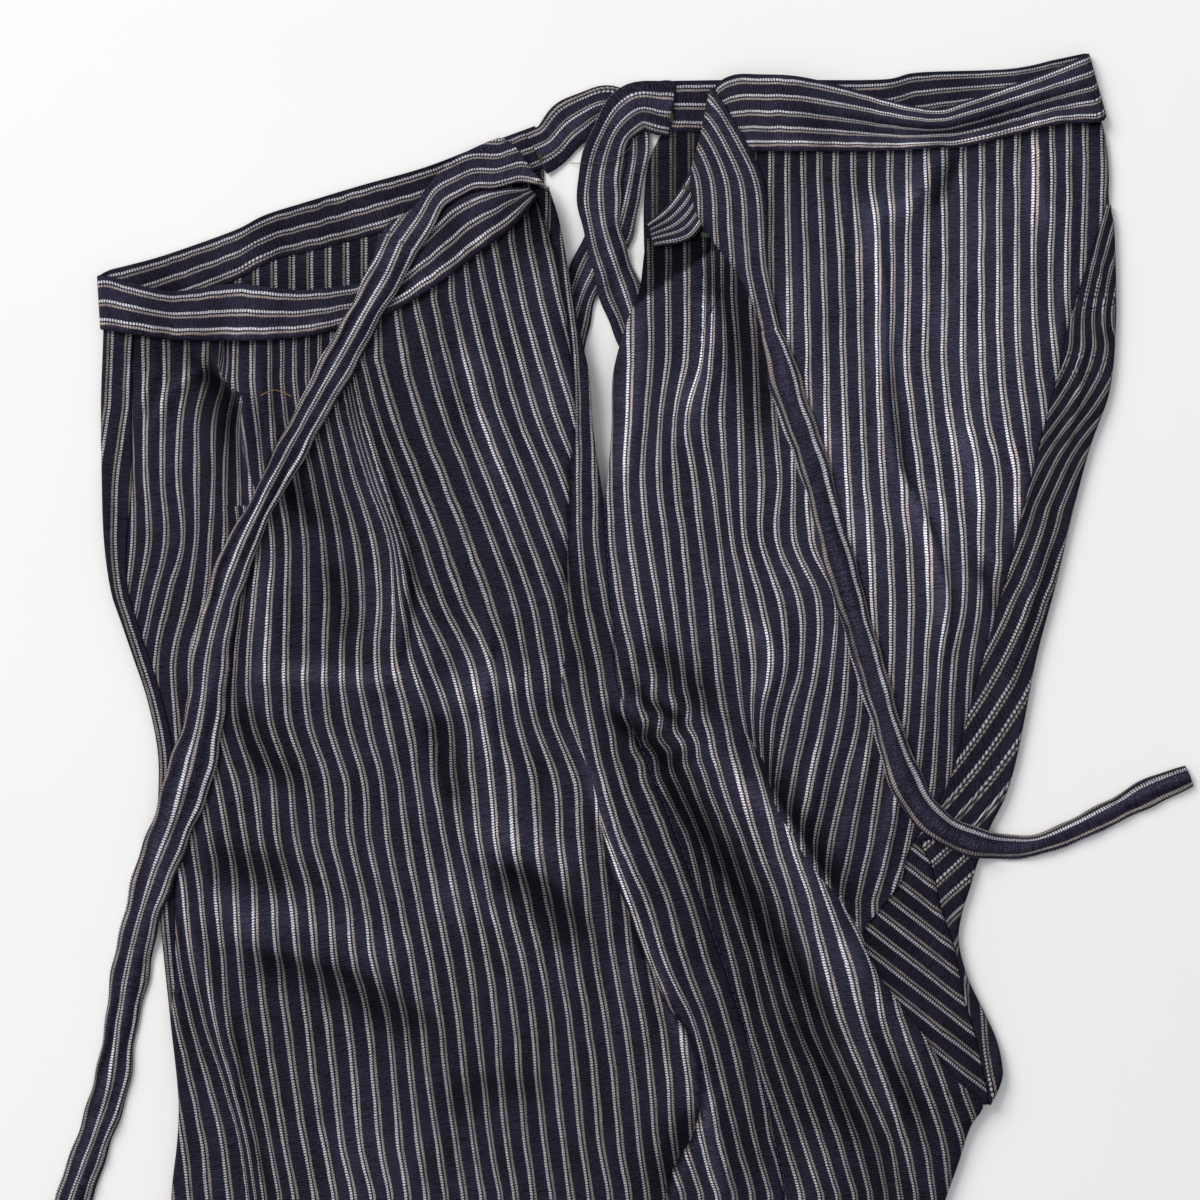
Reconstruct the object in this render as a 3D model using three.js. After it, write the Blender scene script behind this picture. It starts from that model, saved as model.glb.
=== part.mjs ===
// Monpe work trousers of striped cotton, laid on their left-front side on a table: the wearer's left
// half is uppermost, the right half lies under it, and the side slits, one on the other, face up.
// Millimetres, +Z up, table at Z = 0. The tables below give places on the lay as `x`, to the right of
// its upper left corner, and `down`, towards the hems; `place` turns them into the part's own frame.
import * as THREE from 'three';

// ---- driving sizes ----
const ORIGIN_X = 256; // middle of the lay's box, across
const ORIGIN_DOWN = 476.1; // middle of the lay's box, down
const CLOTH = 1.2; // wall of one layer of cloth
const BAND = 1.8; // wall of a waistband, which is doubled cloth
const TIE = 1.6; // wall of a tie
const GAP = 0.3; // between pieces that lie on each other
const SEAM = 0.5; // between pieces that are sewn edge to edge
const HIDDEN_SEAM = 1.4; // the same on the under side of the lay
const UPPER_SEAT = 3.6; // middle of the upper layer over the table, seat and hips
const UPPER_LEG = 5.4; // the same below the crotch, over both inner legs
const LEG_FROM = 380; // down the lay, where the upper layer starts to climb over the inner legs
const LEG_FULL = 424; // and where it has reached its full height
const INNER_FROM = 432; // top of the inner leg pieces
const HEM_FROM = 914; // top of the hem bands
const HEM_TO = 930; // bottom of the legs
const ROLL = 5; // how far in the upper layer starts to turn down at a folded edge
const PILE_CELL = 2; // grid that records the height of the cloth laid so far
const UNDER_TUCK = 3; // how far the upper panels reach in under the waistbands

const BAND_FOLD = UPPER_SEAT + 1.4; // middle of a waistband where it comes over its fold

const NAVY = 0x343858;
const NAVY_DEEP = 0x2a2d49;

// ---- outline of the lay: the folds at the left and right, one row for each bend ----
const OUTLINE_LEFT = [
  { down: 110, x: 43.5 },
  { down: 138, x: 43.5 },
  { down: 169, x: 42.5 },
  { down: 201, x: 43.5 },
  { down: 228, x: 45 },
  { down: 249, x: 48.5 },
  { down: 260, x: 52 },
  { down: 276, x: 56 },
  { down: 294, x: 62 },
  { down: 317, x: 66.5 },
  { down: 342, x: 66.5 },
  { down: 386, x: 67.5 },
  { down: 428, x: 71.5 },
  { down: 462, x: 75 },
  { down: 479, x: 74.5 },
  { down: 504, x: 72 },
  { down: 560, x: 73 },
  { down: 640, x: 79 },
  { down: 740, x: 88 },
  { down: 840, x: 98 },
  { down: 930, x: 107 },
];
const OUTLINE_RIGHT = [
  { down: 40, x: 462 },
  { down: 63, x: 466 },
  { down: 80, x: 467 },
  { down: 109, x: 468.5 },
  { down: 139, x: 468.5 },
  { down: 164, x: 466 },
  { down: 187, x: 458 },
  { down: 211, x: 451.5 },
  { down: 243, x: 444 },
  { down: 275, x: 435.5 },
  { down: 318, x: 427 },
  { down: 335, x: 422 },
  { down: 348, x: 415.5 },
  { down: 369, x: 408.5 },
  { down: 392, x: 402.5 },
  { down: 410, x: 406 },
  { down: 436, x: 418 },
  { down: 450, x: 421 },
  { down: 460, x: 419 },
  { down: 483, x: 409.5 },
  { down: 504, x: 403 },
  { down: 560, x: 384 },
  { down: 650, x: 350 },
  { down: 750, x: 316 },
  { down: 850, x: 284 },
  { down: 930, x: 258 },
];

// ---- the side: slit edges of the upper layer, then the side seam down to the hem ----
const SIDE_SEAM = [
  { down: 212, front: 253.5, back: 254.2 },
  { down: 235, front: 255, back: 255.6 },
  { down: 260, front: 257, back: 257.6 },
  { down: 290, front: 260, back: 260.6 },
  { down: 321, front: 272, back: 272.7 },
  { down: 364, front: 289, back: 289.7 },
  { down: 400, front: 302, back: 302.6 },
  { down: 430, front: 312, back: 312.6 },
  { down: 457, front: 320.5, back: 321.1 },
  { down: 484, front: 326, back: 326.6 },
  { down: 504, front: 329, back: 329.6 },
  { down: 560, front: 322, back: 322.6 },
  { down: 650, front: 282, back: 282.6 },
  { down: 750, front: 236, back: 236.6 },
  { down: 850, front: 202, back: 202.6 },
  { down: 930, front: 182, back: 182.6 },
];
const SIDE_UPPER = [
  { down: 74, front: 228.5, back: 278 },
  { down: 90, front: 234, back: 274 },
  { down: 104, front: 237, back: 271 },
  { down: 122, front: 240, back: 268.5 },
  { down: 140, front: 243.5, back: 262 },
  { down: 158, front: 247.5, back: 257.5 },
  { down: 180, front: 249, back: 257 },
  { down: 201, front: 252, back: 255.5 },
  ...SIDE_SEAM,
];
const SIDE_UNDER = [
  { down: 52, front: 226, back: 280 },
  { down: 66, front: 228, back: 273 },
  { down: 84, front: 229, back: 270.5 },
  { down: 101, front: 233, back: 270.5 },
  { down: 126, front: 237, back: 271 },
  { down: 147, front: 242.5, back: 264 },
  { down: 180, front: 245.5, back: 260 },
  { down: 201, front: 248.5, back: 257.5 },
  ...SIDE_SEAM,
];

// ---- seams that meet the folds ----
// width of the under front that comes round the left fold, up to the centre front seam
const FRONT_RETURN = [
  { down: 110, width: 12 },
  { down: 201, width: 12.5 },
  { down: 249, width: 7 },
  { down: 386, width: 6 },
  { down: 400, width: 5 },
  { down: 430, width: 3.4 },
  { down: 930, width: 3.4 },
];
// right edge of the upper back: the seat gusset's seam, the fold that laps the crotch, then the leg
const BACK_EDGE = [
  { down: 40, x: 460.5 },
  { down: 63, x: 465 },
  { down: 83, x: 465.2 },
  { down: 103, x: 459.5 },
  { down: 135, x: 449 },
  { down: 156, x: 444.5 },
  { down: 185, x: 437 },
  { down: 219, x: 428 },
  { down: 238, x: 424 },
  { down: 269, x: 415 },
  { down: 296, x: 407.5 },
  { down: 324, x: 400 },
  { down: 343, x: 391 },
  { down: 358, x: 381 },
  { down: 370, x: 378 },
  { down: 383, x: 368 },
  { down: 392, x: 362 },
  { down: 409, x: 368.5 },
  { down: 431, x: 385 },
  { down: 453, x: 401 },
  { down: 463, x: 414 },
  { down: 483, x: 409 },
  { down: 504, x: 402.5 },
  { down: 560, x: 383.5 },
  { down: 650, x: 349.5 },
  { down: 750, x: 315.5 },
  { down: 850, x: 283.5 },
  { down: 930, x: 257.5 },
];
// seam between the two crotch gussets
const CHEVRON = [
  { down: 356, x: 387 },
  { down: 363, x: 391 },
  { down: 381, x: 395 },
  { down: 397, x: 400.5 },
  { down: 419, x: 404.5 },
  { down: 433, x: 409 },
  { down: 457, x: 414.5 },
];
const SEAT_GUSSET = { from: 88, to: 352, tuck: 4 };
const CROTCH_GUSSET = { from: 353, to: 458, under: 20 };

// ---- waistbands: a rib across the band wherever its course changes ----
// top and bottom edge of the band; `over` is 0 on the under side of the lay and 1 on the upper side
const FRONT_BAND = [
  { topX: 224.5, topDown: 52.5, bottomX: 229.5, bottomDown: 69.5, over: 0 },
  { topX: 201.5, topDown: 61, bottomX: 208, bottomDown: 79, over: 0 },
  { topX: 178, topDown: 70, bottomX: 185, bottomDown: 89, over: 0 },
  { topX: 151.5, topDown: 77.5, bottomX: 157.5, bottomDown: 98, over: 0 },
  { topX: 130, topDown: 84, bottomX: 135, bottomDown: 104, over: 0 },
  { topX: 111, topDown: 90, bottomX: 115, bottomDown: 109, over: 0 },
  { topX: 98, topDown: 96.5, bottomX: 96, bottomDown: 118.5, over: 0 },
  { topX: 70, topDown: 106.5, bottomX: 72, bottomDown: 127.5, over: 0 },
  { topX: 54, topDown: 111, bottomX: 56, bottomDown: 133.5, over: 0 },
  { topX: 46, topDown: 113, bottomX: 47, bottomDown: 136.5, over: 0 },
  { topX: 42, topDown: 115, bottomX: 43.5, bottomDown: 137.5, over: 0.2 },
  { topX: 41, topDown: 116, bottomX: 42.5, bottomDown: 138, over: 0.5 },
  { topX: 42.5, topDown: 116, bottomX: 43.5, bottomDown: 138.5, over: 0.8 },
  { topX: 47, topDown: 116.5, bottomX: 47, bottomDown: 139, over: 1 },
  { topX: 60.5, topDown: 120.5, bottomX: 63, bottomDown: 141.5, over: 1 },
  { topX: 74.5, topDown: 122.5, bottomX: 75.5, bottomDown: 143, over: 1 },
  { topX: 98, topDown: 119.5, bottomX: 98, bottomDown: 143.5, over: 1 },
  { topX: 114, topDown: 121, bottomX: 114, bottomDown: 143, over: 1 },
  { topX: 130, topDown: 122, bottomX: 131, bottomDown: 141, over: 1 },
  { topX: 151.5, topDown: 119.5, bottomX: 153.5, bottomDown: 135, over: 1 },
  { topX: 162, topDown: 115, bottomX: 168, bottomDown: 127, over: 1 },
  { topX: 174, topDown: 104.5, bottomX: 183.5, bottomDown: 117, over: 1 },
  { topX: 185, topDown: 96, bottomX: 201, bottomDown: 104.5, over: 1 },
  { topX: 206, topDown: 85.5, bottomX: 211.5, bottomDown: 94, over: 1 },
  { topX: 221, topDown: 79, bottomX: 222, bottomDown: 85, over: 1 },
];
// `lip` is how far the band's upper part stands up over its lower part
const BACK_BAND = [
  { topX: 283, topDown: 33.5, bottomX: 282, bottomDown: 55, over: 0, lip: 0 },
  { topX: 320, topDown: 33, bottomX: 320, bottomDown: 56, over: 0, lip: 0 },
  { topX: 369.5, topDown: 33, bottomX: 369.5, bottomDown: 56, over: 0, lip: 0 },
  { topX: 386, topDown: 30, bottomX: 388, bottomDown: 54, over: 0, lip: 0 },
  { topX: 424, topDown: 28.5, bottomX: 428, bottomDown: 51, over: 0, lip: 0 },
  { topX: 444, topDown: 24.5, bottomX: 448, bottomDown: 49, over: 0, lip: 0 },
  { topX: 453.5, topDown: 22.5, bottomX: 458, bottomDown: 48.5, over: 0, lip: 0 },
  { topX: 458, topDown: 22, bottomX: 463, bottomDown: 48.5, over: 0.2, lip: 0 },
  { topX: 459.5, topDown: 22.5, bottomX: 465, bottomDown: 49, over: 0.5, lip: 0.2 },
  { topX: 458.5, topDown: 23, bottomX: 464, bottomDown: 50.5, over: 0.8, lip: 0.5 },
  { topX: 454.5, topDown: 24, bottomX: 460, bottomDown: 51.5, over: 1, lip: 1 },
  { topX: 440, topDown: 30.5, bottomX: 445, bottomDown: 52.5, over: 1, lip: 2 },
  { topX: 421, topDown: 37.5, bottomX: 428, bottomDown: 56.5, over: 1, lip: 3 },
  { topX: 404, topDown: 43.5, bottomX: 404, bottomDown: 62, over: 1, lip: 3.5 },
  { topX: 394, topDown: 46.5, bottomX: 393, bottomDown: 62.5, over: 1, lip: 3.5 },
  { topX: 378, topDown: 44, bottomX: 378, bottomDown: 63.5, over: 1, lip: 3 },
  { topX: 357, topDown: 37.5, bottomX: 357, bottomDown: 64, over: 1, lip: 2 },
  { topX: 336, topDown: 32.5, bottomX: 336, bottomDown: 64, over: 1, lip: 1 },
  { topX: 319, topDown: 31.5, bottomX: 320, bottomDown: 64, over: 1, lip: 0 },
  { topX: 306, topDown: 36, bottomX: 313, bottomDown: 66, over: 1, lip: 0 },
  { topX: 297, topDown: 52, bottomX: 305, bottomDown: 76, over: 1, lip: 0 },
  { topX: 289, topDown: 74, bottomX: 297, bottomDown: 92, over: 1, lip: 0 },
  { topX: 281, topDown: 86, bottomX: 289, bottomDown: 101, over: 1, lip: 0 },
  { topX: 272, topDown: 94, bottomX: 275, bottomDown: 103.5, over: 1, lip: 0 },
];

// ---- ties: course of the middle and width; `over` 0 starts on the table, under the upper layer ----
const TIE_FRONT_UPPER = [
  { x: 222, down: 80, width: 10 },
  { x: 207, down: 72, width: 15 },
  { x: 192, down: 74, width: 21 },
  { x: 177, down: 86, width: 19 },
  { x: 168, down: 101, width: 17 },
  { x: 161, down: 118, width: 15 },
  { x: 148, down: 143, width: 14 },
  { x: 136, down: 165, width: 14 },
  { x: 122, down: 191, width: 13 },
  { x: 110, down: 212, width: 12 },
  { x: 98.5, down: 238, width: 14 },
  { x: 90, down: 269, width: 16 },
  { x: 86, down: 302, width: 17 },
  { x: 76.5, down: 336, width: 19 },
  { x: 65, down: 367, width: 17 },
  { x: 57.5, down: 393, width: 16 },
  { x: 51, down: 428, width: 14 },
  { x: 46.5, down: 455, width: 14 },
  { x: 40, down: 476, width: 15 },
  { x: 30.5, down: 504, width: 14 },
  { x: 21, down: 540, width: 15 },
  { x: 19, down: 570, width: 17 },
];
const TIE_BACK_UPPER = [
  { x: 314, down: 52, width: 24 },
  { x: 309, down: 66, width: 25 },
  { x: 306, down: 80, width: 27 },
  { x: 307, down: 94, width: 27 },
  { x: 310, down: 110, width: 22 },
  { x: 315, down: 127, width: 18 },
  { x: 323, down: 148, width: 16 },
  { x: 332, down: 169, width: 14 },
  { x: 342, down: 198, width: 12 },
  { x: 349, down: 225, width: 12 },
  { x: 357, down: 253, width: 12 },
  { x: 369, down: 294, width: 12 },
  { x: 379, down: 325, width: 13 },
  { x: 389, down: 342, width: 13 },
  { x: 404, down: 352, width: 12 },
  { x: 424, down: 356, width: 10 },
  { x: 441, down: 353.5, width: 9 },
  { x: 466, down: 342, width: 10 },
  { x: 483, down: 333, width: 12 },
  { x: 500, down: 326, width: 8 },
];
const TIE_FRONT_UNDER = [
  { x: 231.8, down: 60, width: 18 },
  { x: 240, down: 51, width: 19 },
  { x: 254, down: 43.5, width: 17 },
  { x: 264, down: 49, width: 14 },
  { x: 266, down: 62, width: 13 },
  { x: 263.5, down: 77, width: 13 },
  { x: 258, down: 95, width: 17 },
  { x: 248, down: 112, width: 16 },
  { x: 241, down: 131, width: 15 },
  { x: 236, down: 160, width: 14 },
  { x: 233, down: 200, width: 14 },
  { x: 232, down: 250, width: 14 },
  { x: 233, down: 300, width: 14 },
  { x: 236, down: 360, width: 14 },
];
const TIE_BACK_UNDER = [
  { x: 281, down: 45, width: 22 },
  { x: 267, down: 45, width: 20 },
  { x: 257, down: 56, width: 18 },
  { x: 252, down: 74, width: 18 },
  { x: 252.5, down: 94, width: 16 },
  { x: 258, down: 115, width: 17 },
  { x: 265, down: 136, width: 16 },
  { x: 273, down: 160, width: 15 },
  { x: 282, down: 200, width: 15 },
  { x: 290, down: 250, width: 15 },
  { x: 298, down: 300, width: 15 },
  { x: 306, down: 350, width: 15 },
];

// ---- folds of the upper layer: the crest's course, its height and its spread to either side ----
const FOLDS = [
  { course: [[90, 146], [101, 166], [103, 186], [107, 212], [112, 240]], rise: 4, left: 5, right: 13 },
  { course: [[143, 172], [160, 196], [169, 222], [173, 256], [172, 300]], rise: 3, left: 12, right: 8 },
  { course: [[205, 270], [208, 305], [213, 340], [216, 380]], rise: 3, left: 12, right: 9 },
  {
    course: [[243, 316], [252, 343], [265, 384], [282, 430], [298, 474], [306, 540]],
    rise: 5,
    left: 10,
    right: 9,
  },
  { course: [[180, 372], [205, 380], [235, 402]], rise: 2.5, left: 12, right: 14 },
  { course: [[84, 372], [105, 392], [138, 424]], rise: 2.5, left: 14, right: 10 },
  { course: [[226, 100], [232, 150], [238, 210]], rise: 2, left: 16, right: 8 },
  {
    course: [[392, 68], [383, 88], [366, 92], [369, 112], [375, 135], [374, 170]],
    rise: 3.5,
    left: 6,
    right: 9,
  },
  { course: [[436, 58], [437, 82], [442, 105]], rise: 3.5, left: 6, right: 8 },
  { course: [[384, 200], [394, 222], [398, 246], [396, 282]], rise: 4, left: 9, right: 9 },
  { course: [[345, 100], [337, 140], [352, 190], [368, 240], [380, 290]], rise: 3, left: 14, right: 10 },
  { course: [[266, 150], [266, 200], [270, 250], [276, 285]], rise: 2.5, left: 9, right: 14 },
  { course: [[262, 292], [278, 300], [292, 318]], rise: 4, left: 7, right: 7 },
  {
    course: [[286, 292], [312, 330], [331, 352], [340, 368], [352, 391], [364, 413], [379, 435], [396, 456]],
    rise: 9,
    left: 17,
    right: 6,
  },
  { course: [[352, 470], [338, 520], [320, 590]], rise: 3.5, left: 14, right: 14 },
  { course: [[150, 450], [165, 540], [160, 640]], rise: 3, left: 20, right: 20 },
];
const CROWN = 1.6; // soft rise of the upper layer between its seams

// ---------------------------------------------------------------------------------------------
// curves and places

const smooth = (from, to, value) => {
  const share = THREE.MathUtils.clamp((value - from) / (to - from), 0, 1);
  return share * share * (3 - 2 * share);
};

// Value of a table's column at `down`: a cubic through the rows, held at the first and last row.
function along(rows, column, down, key = 'down') {
  const last = rows.length - 1;
  if (down <= rows[0][key]) return rows[0][column];
  if (down >= rows[last][key]) return rows[last][column];
  const at = rows.findIndex((row) => row[key] > down) - 1;
  const slope = (row) => {
    const before = rows[Math.max(row - 1, 0)];
    const after = rows[Math.min(row + 1, last)];
    return (after[column] - before[column]) / (after[key] - before[key]);
  };
  const span = rows[at + 1][key] - rows[at][key];
  const share = (down - rows[at][key]) / span;
  const cubed = share ** 3;
  const squared = share ** 2;
  return (
    rows[at][column] * (2 * cubed - 3 * squared + 1) +
    slope(at) * span * (cubed - 2 * squared + share) +
    rows[at + 1][column] * (3 * squared - 2 * cubed) +
    slope(at + 1) * span * (cubed - squared)
  );
}

// Points spaced evenly along a smooth curve through a table's rows, with every column carried along.
function evenly(rows, columns, count) {
  const line = new THREE.CatmullRomCurve3(
    rows.map((row) => new THREE.Vector3(row[columns[0]], row[columns[1]], 0)),
    false,
    'centripetal',
  );
  line.arcLengthDivisions = rows.length * 20;
  const stations = rows.map((row, index) => ({ ...row, station: index / (rows.length - 1) }));
  return Array.from({ length: count }, (_, index) => {
    const station = line.getUtoTmapping(index / (count - 1));
    const names = Object.keys(rows[0]);
    return Object.fromEntries(names.map((name) => [name, along(stations, name, station, 'station')]));
  });
}

const steps = (from, to, count) =>
  Array.from({ length: count + 1 }, (_, i) => from + ((to - from) * i) / count);

const place = ([x, down, z]) => new THREE.Vector3(x - ORIGIN_X, ORIGIN_DOWN - down, z);

// ---------------------------------------------------------------------------------------------
// height of the upper layer

// Height of one fold at a point: a bell across the crest's course, fading out towards both ends.
function foldHeight({ course, rise, left, right }, x, down) {
  let nearest = Infinity;
  let spread = left;
  let station = 0;
  for (let i = 0; i < course.length - 1; i += 1) {
    const [fromX, fromDown] = course[i];
    const runX = course[i + 1][0] - fromX;
    const runDown = course[i + 1][1] - fromDown;
    const share = THREE.MathUtils.clamp(
      ((x - fromX) * runX + (down - fromDown) * runDown) / (runX ** 2 + runDown ** 2),
      0,
      1,
    );
    const offX = x - fromX - runX * share;
    const offDown = down - fromDown - runDown * share;
    const distance = Math.hypot(offX, offDown);
    if (distance < nearest) {
      nearest = distance;
      spread = offX * runDown - offDown * runX > 0 ? right : left;
      station = (i + share) / (course.length - 1);
    }
  }
  const fade = 0.25 + 0.75 * smooth(0, 0.2, station) * smooth(1, 0.75, station);
  return rise * fade * Math.exp(-((nearest / spread) ** 2));
}

// Middle of the upper layer over the table: the flat lay, a soft crown and the folds.
function lift(x, down) {
  const lay = THREE.MathUtils.lerp(UPPER_SEAT, UPPER_LEG, smooth(LEG_FROM, LEG_FULL, down));
  const left = along(OUTLINE_LEFT, 'x', down);
  const right = along(OUTLINE_RIGHT, 'x', down);
  const inward = THREE.MathUtils.clamp(Math.min(x - left, right - x) / 40, 0, 1);
  const calm = 1 - smooth(HEM_FROM - 90, HEM_FROM - 10, down);
  const folds = FOLDS.reduce((sum, fold) => sum + foldHeight(fold, x, down), 0);
  return lay + calm * (CROWN * smooth(0, 1, inward) + folds);
}

// ---------------------------------------------------------------------------------------------
// cloth as closed solids

// Both faces and the rim of a wall round a grid of middle points: rows run down, columns across, and
// the outer face is on the side that `rows cross columns` points to. `plumb` columns keep an upright rim.
function wallGeometry(grid, wall, { plumb = [], closed = false } = {}) {
  const rows = grid.length;
  const columns = grid[0].length;
  const middle = grid.map((row) => row.map(place));
  const across = (i, j) => {
    if (closed) return middle[i][(j + 1) % columns].clone().sub(middle[i][(j + columns - 1) % columns]);
    return middle[i][Math.min(j + 1, columns - 1)].clone().sub(middle[i][Math.max(j - 1, 0)]);
  };
  const downward = (i, j) => middle[Math.min(i + 1, rows - 1)][j].clone().sub(middle[Math.max(i - 1, 0)][j]);
  const upright = new Set(plumb.map((column) => (column + columns) % columns));
  const positions = [];
  for (const side of [1, -1]) {
    for (let i = 0; i < rows; i += 1) {
      for (let j = 0; j < columns; j += 1) {
        const normal = downward(i, j).cross(across(i, j)).normalize();
        if (upright.has(j)) normal.set(0, 0, Math.sign(normal.z));
        positions.push(...middle[i][j].clone().addScaledVector(normal, (side * wall) / 2).toArray());
      }
    }
  }
  const outer = (i, j) => i * columns + (j % columns);
  const inner = (i, j) => rows * columns + outer(i, j);
  const index = [];
  const quad = (a, b, c, d) => index.push(a, b, c, a, c, d);
  const spans = closed ? columns : columns - 1;
  for (let i = 0; i < rows - 1; i += 1) {
    for (let j = 0; j < spans; j += 1) {
      quad(outer(i, j), outer(i + 1, j), outer(i + 1, j + 1), outer(i, j + 1));
      quad(inner(i, j), inner(i, j + 1), inner(i + 1, j + 1), inner(i + 1, j));
    }
  }
  for (let j = 0; j < spans; j += 1) {
    quad(outer(0, j), outer(0, j + 1), inner(0, j + 1), inner(0, j));
    quad(outer(rows - 1, j + 1), outer(rows - 1, j), inner(rows - 1, j), inner(rows - 1, j + 1));
  }
  for (let i = 0; i < rows - 1 && !closed; i += 1) {
    quad(outer(i + 1, 0), outer(i, 0), inner(i, 0), inner(i + 1, 0));
    quad(outer(i, columns - 1), outer(i + 1, columns - 1), inner(i + 1, columns - 1), inner(i, columns - 1));
  }
  const geometry = new THREE.BufferGeometry();
  geometry.setAttribute('position', new THREE.Float32BufferAttribute(positions, 3));
  geometry.setIndex(index);
  geometry.computeVertexNormals();
  return geometry;
}

// Height of the cloth laid so far, on a grid over the table. Pieces laid later rest on it.
class Pile {
  constructor(width, length) {
    this.columns = Math.ceil(width / PILE_CELL);
    this.rows = Math.ceil(length / PILE_CELL);
    this.heights = new Float32Array(this.columns * this.rows);
  }

  raise(x, down, z) {
    const column = Math.floor(x / PILE_CELL);
    const row = Math.floor(down / PILE_CELL);
    if (column < 0 || row < 0 || column >= this.columns || row >= this.rows) return;
    const cell = row * this.columns + column;
    this.heights[cell] = Math.max(this.heights[cell], z);
  }

  // Adds a solid: each triangle raises the cells that it covers, sampled closer than the cells are.
  add(geometry) {
    const position = geometry.getAttribute('position');
    const corners = [0, 1, 2].map(() => new THREE.Vector3());
    const point = new THREE.Vector3();
    for (let i = 0; i < geometry.index.count; i += 3) {
      corners.forEach((corner, k) => corner.fromBufferAttribute(position, geometry.index.getX(i + k)));
      const longest = Math.max(corners[0].distanceTo(corners[1]), corners[1].distanceTo(corners[2]));
      const parts = Math.ceil((1.5 * longest) / PILE_CELL);
      for (let a = 0; a <= parts; a += 1) {
        for (let b = 0; b <= parts - a; b += 1) {
          point.copy(corners[0]).multiplyScalar(1 - (a + b) / parts);
          point.addScaledVector(corners[1], a / parts).addScaledVector(corners[2], b / parts);
          this.raise(point.x + ORIGIN_X, ORIGIN_DOWN - point.y, point.z);
        }
      }
    }
  }

  // Highest cloth within `reach` of a point.
  top(x, down, reach) {
    const cells = Math.ceil(reach / PILE_CELL);
    const column = Math.floor(x / PILE_CELL);
    const row = Math.floor(down / PILE_CELL);
    let highest = 0;
    for (let i = Math.max(row - cells, 0); i <= Math.min(row + cells, this.rows - 1); i += 1) {
      for (let j = Math.max(column - cells, 0); j <= Math.min(column + cells, this.columns - 1); j += 1) {
        highest = Math.max(highest, this.heights[i * this.columns + j]);
      }
    }
    return highest;
  }

  // Middle height of a wall that rests on what lies within `reach`.
  rest(x, down, reach, wall) {
    const under = this.top(x, down, reach);
    return under > 0 ? under + GAP + wall / 2 : wall / 2;
  }
}

const trousers = new THREE.Group();
const pile = new Pile(540, 960);

function add(name, geometry, color) {
  const material = new THREE.MeshStandardMaterial({ color, roughness: 0.92, metalness: 0 });
  const mesh = new THREE.Mesh(geometry, material);
  mesh.name = name;
  trousers.add(mesh);
  pile.add(geometry);
}

// ---------------------------------------------------------------------------------------------
// panels

const UNDER = CLOTH / 2; // middle of the under layer
const LEG_RETURN = UNDER + CLOTH + GAP; // middle of the turned edge of the under leg

// Middle height of the under front where it has come round the left fold.
function frontReturn(x, down) {
  return THREE.MathUtils.lerp(lift(x, down), LEG_RETURN, smooth(LEG_FROM, LEG_FROM + 20, down));
}

// Stretch of each waistband's bottom edge that a panel's top edge follows.
const BAND_SPAN = {
  frontUnder: [46, 228],
  frontUpper: [56, 222],
  backUnder: [282, 462],
  backUpper: [272, 461],
};
const TUCK_ENDS = [446, 456]; // where the upper back stops reaching in under its waistband
const FOLD_TOP = 139.5; // top of the under front where it comes round the left fold

// How far down the bottom edge of a waistband lies at `x`, on the under or the upper side.
const bandBottom = (band, x, over) => {
  const ribs = band.filter((rib) => rib.over === over).sort((a, b) => a.bottomX - b.bottomX);
  return along(ribs, 'bottomDown', x, 'bottomX');
};

// Rows that all panels share below the slit, so that their side seams match: close over the seat and
// the crotch, wide down the legs.
const SLIT_END = 212;
const SHARED_ROWS = [...steps(SLIT_END, 520, 22), ...steps(520, HEM_FROM - SEAM, 9).slice(1)];

// Depth down the lay of each point of a column, from its own top edge to the hem.
const downsFrom = (top) => [...steps(top, SLIT_END, 8).slice(0, -1), ...SHARED_ROWS];
const emptyRows = () => Array.from({ length: 8 + SHARED_ROWS.length }, () => []);

// Right front, under the lay: flat from the side to the left fold, round it, and back to the centre seam.
function frontUnder() {
  const flat = [1, 0.86, 0.7, 0.55, 0.42, 0.3, 0.2, 0.1, 0];
  const turns = 4;
  const at = (share, down) => {
    const fold = along(OUTLINE_LEFT, 'x', down);
    const height = frontReturn(fold + 4, down);
    const radius = (height - UNDER) / 2;
    return { fold, height, radius, side: along(SIDE_UNDER, 'front', down) };
  };
  const columnTop = (x) => bandBottom(FRONT_BAND, x, 0) + HIDDEN_SEAM;
  const grid = emptyRows();
  const push = (top, point) => downsFrom(top).forEach((down, i) => grid[i].push(point(down)));
  for (const share of flat) {
    push(columnTop(THREE.MathUtils.lerp(...BAND_SPAN.frontUnder, share)), (down) => {
      const { fold, radius, side } = at(share, down);
      return [THREE.MathUtils.lerp(fold + radius, side, share), down, UNDER];
    });
  }
  for (let turn = 1; turn < turns; turn += 1) {
    const angle = (Math.PI * turn) / turns;
    push(THREE.MathUtils.lerp(columnTop(BAND_SPAN.frontUnder[0]), FOLD_TOP, turn / turns), (down) => {
      const { fold, height, radius } = at(0, down);
      const x = fold + radius - radius * Math.sin(angle);
      return [x, down, (UNDER + height) / 2 - ((height - UNDER) / 2) * Math.cos(angle)];
    });
  }
  for (const share of [0, 0.5, 1]) {
    push(FOLD_TOP, (down) => {
      const { fold, radius } = at(0, down);
      const width = along(FRONT_RETURN, 'width', down);
      const x = THREE.MathUtils.lerp(fold + radius, fold + width, share);
      return [x, down, frontReturn(x, down)];
    });
  }
  return wallGeometry(grid, CLOTH, { plumb: [0, -1] });
}

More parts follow.
